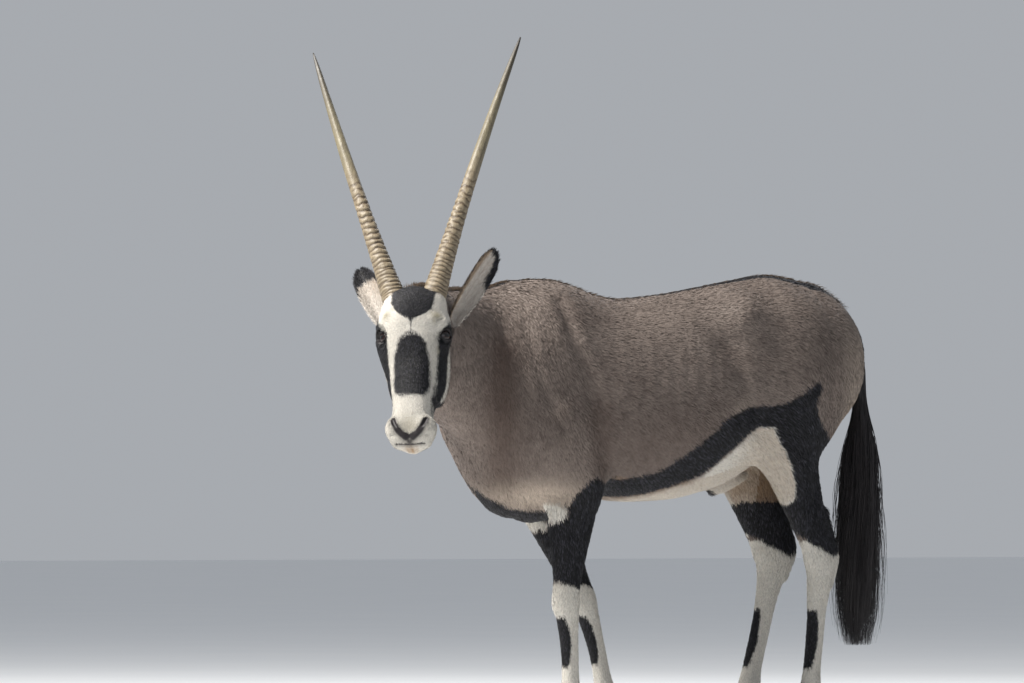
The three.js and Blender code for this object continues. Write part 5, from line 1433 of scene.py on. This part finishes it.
# ---------------------------------------------------------------- eyes and lashes
def build_eye(sgn, name):
    nu, nv = 72, 44
    g, h = V(cos(GAZE), sin(GAZE), 0), V(-sin(GAZE), cos(GAZE), 0)
    ph, th = np.meshgrid(np.linspace(0, 2 * math.pi, nu, endpoint=False), np.linspace(0.02, math.pi - 0.02, nv), indexing="xy")
    # poles along the gaze
    a, b = th * np.cos(ph), th * np.sin(ph)
    r = EYE_RADIUS * (1 + 0.035 * np.exp(-(th / 0.55) ** 2))
    d = g[None, None] * np.cos(th)[..., None] + h[None, None] * (np.sin(th) * np.cos(ph))[..., None] + V(0, 0, 1)[None, None] * (np.sin(th) * np.sin(ph))[..., None]
    P = EYE + d * r[..., None]
    P[..., 0] *= sgn
    v, f, sz = loft(P)
    v = from_head(v)
    f = outward(v, f, sz)
    me = mesh_from(name, to_model(v), f, sz)
    add_attributes(me, dict(eye_a=a.ravel(), eye_b=b.ravel()))
    add_object(name + "_ball", me, M_EYE, "eye", name)


build_eye(1, "eye_left")
build_eye(-1, "eye_right")


def strands(name, roots, dirs, downs, length, radius, segments, material, slot_name, rng, nodes=(), curl=0.0, sides=3, taper=0.25):
    """thin solid hairs: each starts along dirs and bends towards downs"""
    N = len(roots)
    t = np.linspace(0, 1, segments + 1)
    step = (length / segments)[:, None]
    pts = [roots]
    for i in range(segments):
        w = t[i + 1]
        d = rows_unit(dirs * (1 - w) + downs * w + rng.normal(0, curl, (N, 3)))
        pts.append(pts[-1] + d * step)
    P = np.stack(pts, 1)
    T = np.gradient(P, axis=1)
    T /= np.linalg.norm(T, axis=2)[..., None]
    ref = np.where(np.abs(T[..., 2:3]) > 0.9, [[[1.0, 0, 0]]], [[[0, 0, 1.0]]])
    A = np.cross(T, ref)
    A /= np.linalg.norm(A, axis=2)[..., None]
    C = np.cross(T, A)
    rad_ = radius[:, None] * (1 - (1 - taper) * t[None] ** 1.5)
    ang = np.arange(sides) * 2 * math.pi / sides
    R = P[:, :, None] + (A[:, :, None] * np.cos(ang)[None, None, :, None] + C[:, :, None] * np.sin(ang)[None, None, :, None]) * rad_[:, :, None, None]
    v = R.reshape(-1, 3)
    m = segments + 1
    i, k = np.meshgrid(np.arange(segments), np.arange(sides), indexing="ij")
    k2 = (k + 1) % sides
    q = np.stack([i * sides + k, i * sides + k2, (i + 1) * sides + k2, (i + 1) * sides + k], -1).reshape(-1, 4)
    flat = (q.ravel()[None] + (np.arange(N) * m * sides)[:, None]).ravel()
    me = mesh_from(name, to_model(v), flat, np.full(N * len(q), 4))
    add_attributes(me, dict(along=np.tile(np.repeat(t, sides), N), tint=np.repeat(rng.random(N), m * sides)))
    return add_object(name, me, material, slot_name, *nodes)


rng = np.random.default_rng(77)
for sgn, name in ((1, "lashes_left"), (-1, "lashes_right")):
    n = 90
    al = rng.uniform(-rad(46), rad(40), n)
    be = rad(35) * (1 - (al / rad(54)) ** 2) - rad(5) * np.sin(al / rad(55)) + rad(2)
    g, h = V(cos(GAZE), sin(GAZE), 0), V(-sin(GAZE), cos(GAZE), 0)
    d = np.cos(be)[:, None] * (np.cos(al)[:, None] * g + np.sin(al)[:, None] * h) + np.sin(be)[:, None] * V(0, 0, 1)
    root = EYE + d * (EYE_RADIUS + 0.0022)
    out = rows_unit(d + V(0, 0, 0.15) + rng.normal(0, 0.10, (n, 3)))
    down = rows_unit(d * 0.7 + V(0, 0, -0.55) + g * 0.3)
    for arr in (root, out, down):
        arr[:, 0] *= sgn
    strands(name, from_head(root), out @ HEAD, down @ HEAD, rng.uniform(0.009, 0.015, n), np.full(n, 0.00026), 5, M_LASH, "eye", rng)


# ---------------------------------------------------------------- hooves and dew claws
CORONET = 0.048


def soft(x, k):
    return np.sign(x) * np.abs(x) ** k


for name, limb, side, toe in (("fore_left", FORE_LEFT, 1, 0), ("fore_right", FORE_RIGHT, -1, 0), ("hind_left", HIND_LEFT, 1, 8), ("hind_right", HIND_RIGHT, -1, 8)):
    base = limb.T[-1]
    t = rad(toe) * side
    E, S = V(cos(t), sin(t), 0), V(-sin(t), cos(t), 0)
    O = V(base[0], base[1], 0)
    for k2 in (1, -1):
        a = np.linspace(0, 2 * math.pi, 56, endpoint=False)
        ca, sa = np.cos(a), np.sin(a)
        rings = []
        zs = [0.0, 0.0006, 0.002, 0.005, 0.010, 0.015, 0.020, 0.026, 0.032, 0.038, 0.043, 0.0462, 0.0478, 0.0485]
        for z in zs:
            v = min(z / CORONET, 1)
            front, rear, out, inner = 0.078 - 0.047 * v, -0.036 + 0.005 * v, 0.0335 - 0.0075 * v, 0.0012
            x = np.where(ca > 0, front * ca, -rear * ca)
            tp = np.where(ca > 0, 1 - 0.42 * ca ** 2, 1)
            y = inner + (out - inner) * np.where(sa > 0, 0.5 + 0.5 * np.abs(sa) ** 0.8 * tp, 0.5 - 0.5 * np.abs(sa) ** 0.45)
            shrink = 1 - 0.010 * math.exp(-z / 0.0012) - 0.05 * max(0, (z - 0.046) / 0.0025)
            wave = 1 + 0.006 * math.sin(z * 900) * (0.3 + 0.7 * v)
            my = (inner + out) / 2
            rings.append(O + E * (x * shrink * wave)[:, None] + S * ((my + (y - my) * shrink * (1 + 0.004 * math.sin(z * 900))) * k2)[:, None] + V(0, 0, z))
        vv, ff, ss = loft(rings)
        ff = outward(vv, ff, ss)
        node = f"hoof_{name}_{'outer' if k2 * side > 0 else 'inner'}"
        add_object(node + "_horn", mesh_from(node + "_horn", to_model(vv), ff, ss), M_HOOF, "hoof", node)
    fet = limb.T[np.argmax(limb.T[:, 2] < 0.122)]
    for k2 in (1, -1):
        c = V(fet[0], fet[1], 0.106) - E * 0.020 + S * 0.0125 * k2
        rings = []
        a = np.linspace(0, 2 * math.pi, 28, endpoint=False)
        for z, r in ((0.0115, 0.0040), (0.0105, 0.0082), (0.008, 0.0105), (0.004, 0.0118), (-0.001, 0.0122), (-0.006, 0.0110), (-0.010, 0.0092), (-0.013, 0.0066), (-0.0145, 0.0030)):
            rings.append(c + E * (-0.010 + 0.5 * z + r * 1.2 * np.cos(a))[:, None] + S * (r * 0.82 * np.sin(a))[:, None] + V(0, 0, z))
        vv, ff, ss = loft(rings)
        ff = outward(vv, ff, ss)
        node = f"dewclaw_{name}_{'outer' if k2 * side > 0 else 'inner'}"
        add_object(node + "_horn", mesh_from(node + "_horn", to_model(vv), ff, ss), M_HOOF, "hoof", node)

# ---------------------------------------------------------------- tail hair
TUFT = np.array([(0.846, -0.5892, 0.0165, 0.0165), (0.82, -0.590, 0.022, 0.021), (0.78, -0.589, 0.032, 0.030), (0.73, -0.587, 0.040, 0.038), (0.67, -0.585, 0.046, 0.044), (0.60, -0.583, 0.050, 0.048),
                 (0.52, -0.581, 0.054, 0.051), (0.44, -0.580, 0.055, 0.052), (0.37, -0.580, 0.053, 0.050), (0.31, -0.580, 0.047, 0.044), (0.265, -0.580, 0.039, 0.036), (0.24, -0.580, 0.030, 0.028)])[::-1]
tuft = lambda u, j: np.interp(u, TUFT[:, 0], TUFT[:, j])
rng = np.random.default_rng(5)
n, seg = (2600), 9
u0 = rng.uniform(0.79, 0.97, n)
u1 = 0.243 + 0.34 * rng.random(n) ** 1.8
rho = np.sqrt(rng.random(n)) * 0.97
stray = rng.random(n) < 0.05
an = rng.random(n) * 2 * math.pi
tt = np.linspace(0, 1, seg + 1)
U = u0[:, None] + (u1 - u0)[:, None] * tt[None]
sp = ramp(tt, 0.0, 0.12)[None]
wob = 0.17 * np.sin(tt[None] * rng.uniform(3, 9, n)[:, None] + rng.uniform(0, 6, n)[:, None])
rr = np.where(stray[:, None], 1.0 + 0.38 * rho[:, None] * tt[None] + wob, np.clip(rho[:, None] + wob, 0, 1.06))
top_r = 0.0155
fa = np.where(U > 0.846, top_r, tuft(U, 2))
fb = np.where(U > 0.846, top_r, tuft(U, 3))
fc = np.where(U > 0.846, np.interp(U, [0.80, 0.87, 0.95, 1.0], [-0.590, -0.589, -0.586, -0.578]), tuft(U, 1))
an_ = an[:, None] + 0.25 * np.sin(tt[None] * 3 + an[:, None])
edge_r = np.where(U > 0.84, 1.0, rr * sp + (1 - sp))
lock = 0.0035 * np.sin(an[:, None] * 3 + U * 14) * sp + 0.002 * np.sin(an[:, None] * 7 + U * 31) * sp
P = np.stack([fc + fa * edge_r * np.cos(an_) + lock, fb * edge_r * np.sin(an_) + lock, U], 2)
roots = P[:, 0]
T = np.gradient(P, axis=1)
T /= np.linalg.norm(T, axis=2)[..., None]
A = rows_unit(np.cross(T.reshape(-1, 3), [1.0, 0, 0])).reshape(T.shape)
C = np.cross(T, A)
rd = (0.00085 * (1 - 0.75 * tt ** 2))[None, :, None, None] * rng.uniform(0.7, 1.2, n)[:, None, None, None]
ang = np.arange(3) * 2 * math.pi / 3
R = P[:, :, None] + (A[:, :, None] * np.cos(ang)[None, None, :, None] + C[:, :, None] * np.sin(ang)[None, None, :, None]) * rd
i, k = np.meshgrid(np.arange(seg), np.arange(3), indexing="ij")
k2 = (k + 1) % 3
q = np.stack([i * 3 + k, i * 3 + k2, (i + 1) * 3 + k2, (i + 1) * 3 + k], -1).reshape(-1, 4)
hair_v = R.reshape(-1, 3)
hair_f = (q.ravel()[None] + (np.arange(n) * (seg + 1) * 3)[:, None]).ravel()
core = np.array([[(tuft(u, 1) + 0.72 * min(1.0, (u - 0.335) / 0.10) * tuft(u, 2) * math.cos(x) * (1 + 0.10 * math.sin(5 * x + 9 * u)), 0.72 * min(1.0, (u - 0.335) / 0.10) * tuft(u, 3) * math.sin(x) * (1 + 0.10 * math.sin(5 * x + 9 * u)), u) for x in np.linspace(0, 2 * math.pi, 30, endpoint=False)] for u in np.linspace(0.845, 0.350, 30)])
cv, cf, cs = loft(core)
cf = outward(cv, cf, cs)
allv = np.vstack([hair_v, cv])
me = mesh_from("tail_hair", to_model(allv), np.concatenate([hair_f, np.array(cf) + len(hair_v)]), np.concatenate([np.full(n * len(q), 4), cs]))
add_attributes(me, dict(along=np.concatenate([np.tile(np.repeat(tt, 3), n), np.full(len(cv), 0.0)]), tint=np.concatenate([np.repeat(rng.random(n), (seg + 1) * 3), np.full(len(cv), 0.1)])))
add_object("tail_hair", me, M_TAIL, "tail_hair", "tail_tuft")

# ---------------------------------------------------------------- mane, nape and croup hair
rng = np.random.default_rng(9)


def crest_roots(n, lo, hi, half):
    """points on the crest of the neck, between two shares of its length"""
    x = rng.uniform(lo, hi, n) * (len(NECK.T) - 1)
    j = np.minimum(x.astype(int), len(NECK.T) - 2)
    w = (x - j)[:, None]
    mixr = lambda a: a[j] * (1 - w) + a[j + 1] * w
    c, t, up, sd, R = mixr(NECK.T[:, :3]), mixr(NECK.t), mixr(NECK.up), mixr(NECK.sd), mixr(NECK.T[:, 3:5])
    a = rng.normal(0, half, n)
    p = c + up * (R[:, 1:2] * 0.98) + sd * a[:, None]
    for _ in range(4):
        dd = np.minimum(trunk_field(p), head_field(p))
        p = p - up * np.clip(dd, -0.01, 0.01)[:, None]
    return p, up, t, sd


cnt = 2600
p, up, t, sd = crest_roots(cnt, 0.18, 1.0, 0.0055)
h = 0.020 + 0.012 * np.sin(np.clip((p[:, 0] - 0.40) / 0.45, 0, 1) * math.pi)
strands("mane", p - up * 0.002, rows_unit(up * 1.0 - t * 0.55 + rng.normal(0, 0.10, p.shape)), rows_unit(-t + up * 0.35 + rng.normal(0, 0.10, p.shape)), h * rng.uniform(0.6, 1.1, len(p)), np.full(len(p), 0.00060), 3, M_MANE, "coat_black", rng)
# short dark hair standing along the back
n = 2200
p = np.stack([rng.uniform(-0.53, 0.47, n), rng.normal(0, 0.0080, n), np.full(n, 1.30)], 1)
for _ in range(26):
    p[:, 2] -= np.clip(trunk_field(p), -0.02, 0.08) * 0.9
strands("back_line", p - [0, 0, 0.002], rows_unit(V(-0.75, 0, 0.66) + rng.normal(0, 0.12, p.shape)), rows_unit(V(-1, 0, 0.12) + rng.normal(0, 0.08, p.shape)), rng.uniform(0.014, 0.024, n), np.full(n, 0.00080), 3, M_MANE, "coat_black", rng)
# tuft between the horns
n = 500
x, y = rng.normal(0, 0.020, n), rng.uniform(-0.105, -0.045, n)
q = np.stack([x, y, np.full(n, 0.16)], 1)
for _ in range(6):
    q[:, 2] -= np.clip(skull(q), -0.02, 0.05)
strands("forelock", from_head(q - [0, 0, 0.002]), rows_unit(np.stack([x * 8, 0.15 + 0 * x, np.ones(n)], 1) + rng.normal(0, 0.15, (n, 3))) @ HEAD, rows_unit(np.stack([x * 6, -0.5 + 0 * x, 0.5 + 0 * x], 1)) @ HEAD,
        rng.uniform(0.014, 0.030, n), np.full(n, 0.0006), 3, M_MANE, "coat_black", rng)

# ---------------------------------------------------------------- floor, camera, light
me = bpy.data.meshes.new("floor")
me.from_pydata([(-60, -60, 0), (60, -60, 0), (60, 60, 0), (-60, 60, 0)], [], [(0, 1, 2, 3)])
floor = bpy.data.objects.new("floor", me)
SCENE.collection.objects.link(floor)
me.materials.append(floor_material())

TH, PITCH = rad(28), rad(1.3576)
cam = bpy.data.cameras.new("camera")
cam.sensor_width, cam.lens = 36.0, 249.96
cam.clip_start, cam.clip_end = 0.1, 300
camera = bpy.data.objects.new("camera", cam)
SCENE.collection.objects.link(camera)
loc = Vector((-(8.78131406 - CENTRE_F), -(15.7171534 - CENTRE_L), 0.59))
fwd = Vector((sin(TH) * cos(PITCH), cos(TH) * cos(PITCH), sin(PITCH)))
right = Vector((cos(TH), -sin(TH), 0))
upv = right.cross(fwd)
camera.matrix_world = Matrix(((right.x, upv.x, -fwd.x, loc.x), (right.y, upv.y, -fwd.y, loc.y), (right.z, upv.z, -fwd.z, loc.z), (0, 0, 0, 1)))
SCENE.camera = camera


def area_light(name, direction, distance, size, power, colour):
    """direction from the object in the camera's own right, up and towards"""
    target = Vector((-0.1, 0, 0.85))
    d = (right * direction[0] + Vector((0, 0, 1)) * direction[1] - Vector((fwd.x, fwd.y, 0)).normalized() * direction[2]).normalized()
    lt = bpy.data.lights.new(name, "AREA")
    lt.shape, lt.size, lt.energy, lt.color = "DISK", size, power, colour
    ob = bpy.data.objects.new(name, lt)
    SCENE.collection.objects.link(ob)
    ob.location = target + d * distance
    ob.rotation_euler = (-d).to_track_quat("-Z", "Y").to_euler()


area_light("key", (-0.62, 0.80, 0.20), 6.5, 1.2, 1200, (1.0, 0.965, 0.91))
area_light("fill", (0.25, 0.30, 0.90), 8.0, 5.0, 50, (0.92, 0.95, 1.0))
area_light("rim", (0.30, 0.60, -0.90), 6.5, 3.0, 90, (0.95, 0.97, 1.0))
world = bpy.data.worlds.new("world")
SCENE.world = world
world.use_nodes = True
bg = world.node_tree.nodes["Background"]
bg.inputs[0].default_value = (0.86, 0.90, 0.96, 1)
bg.inputs[1].default_value = 0.45
SCENE.view_settings.view_transform = "Standard"
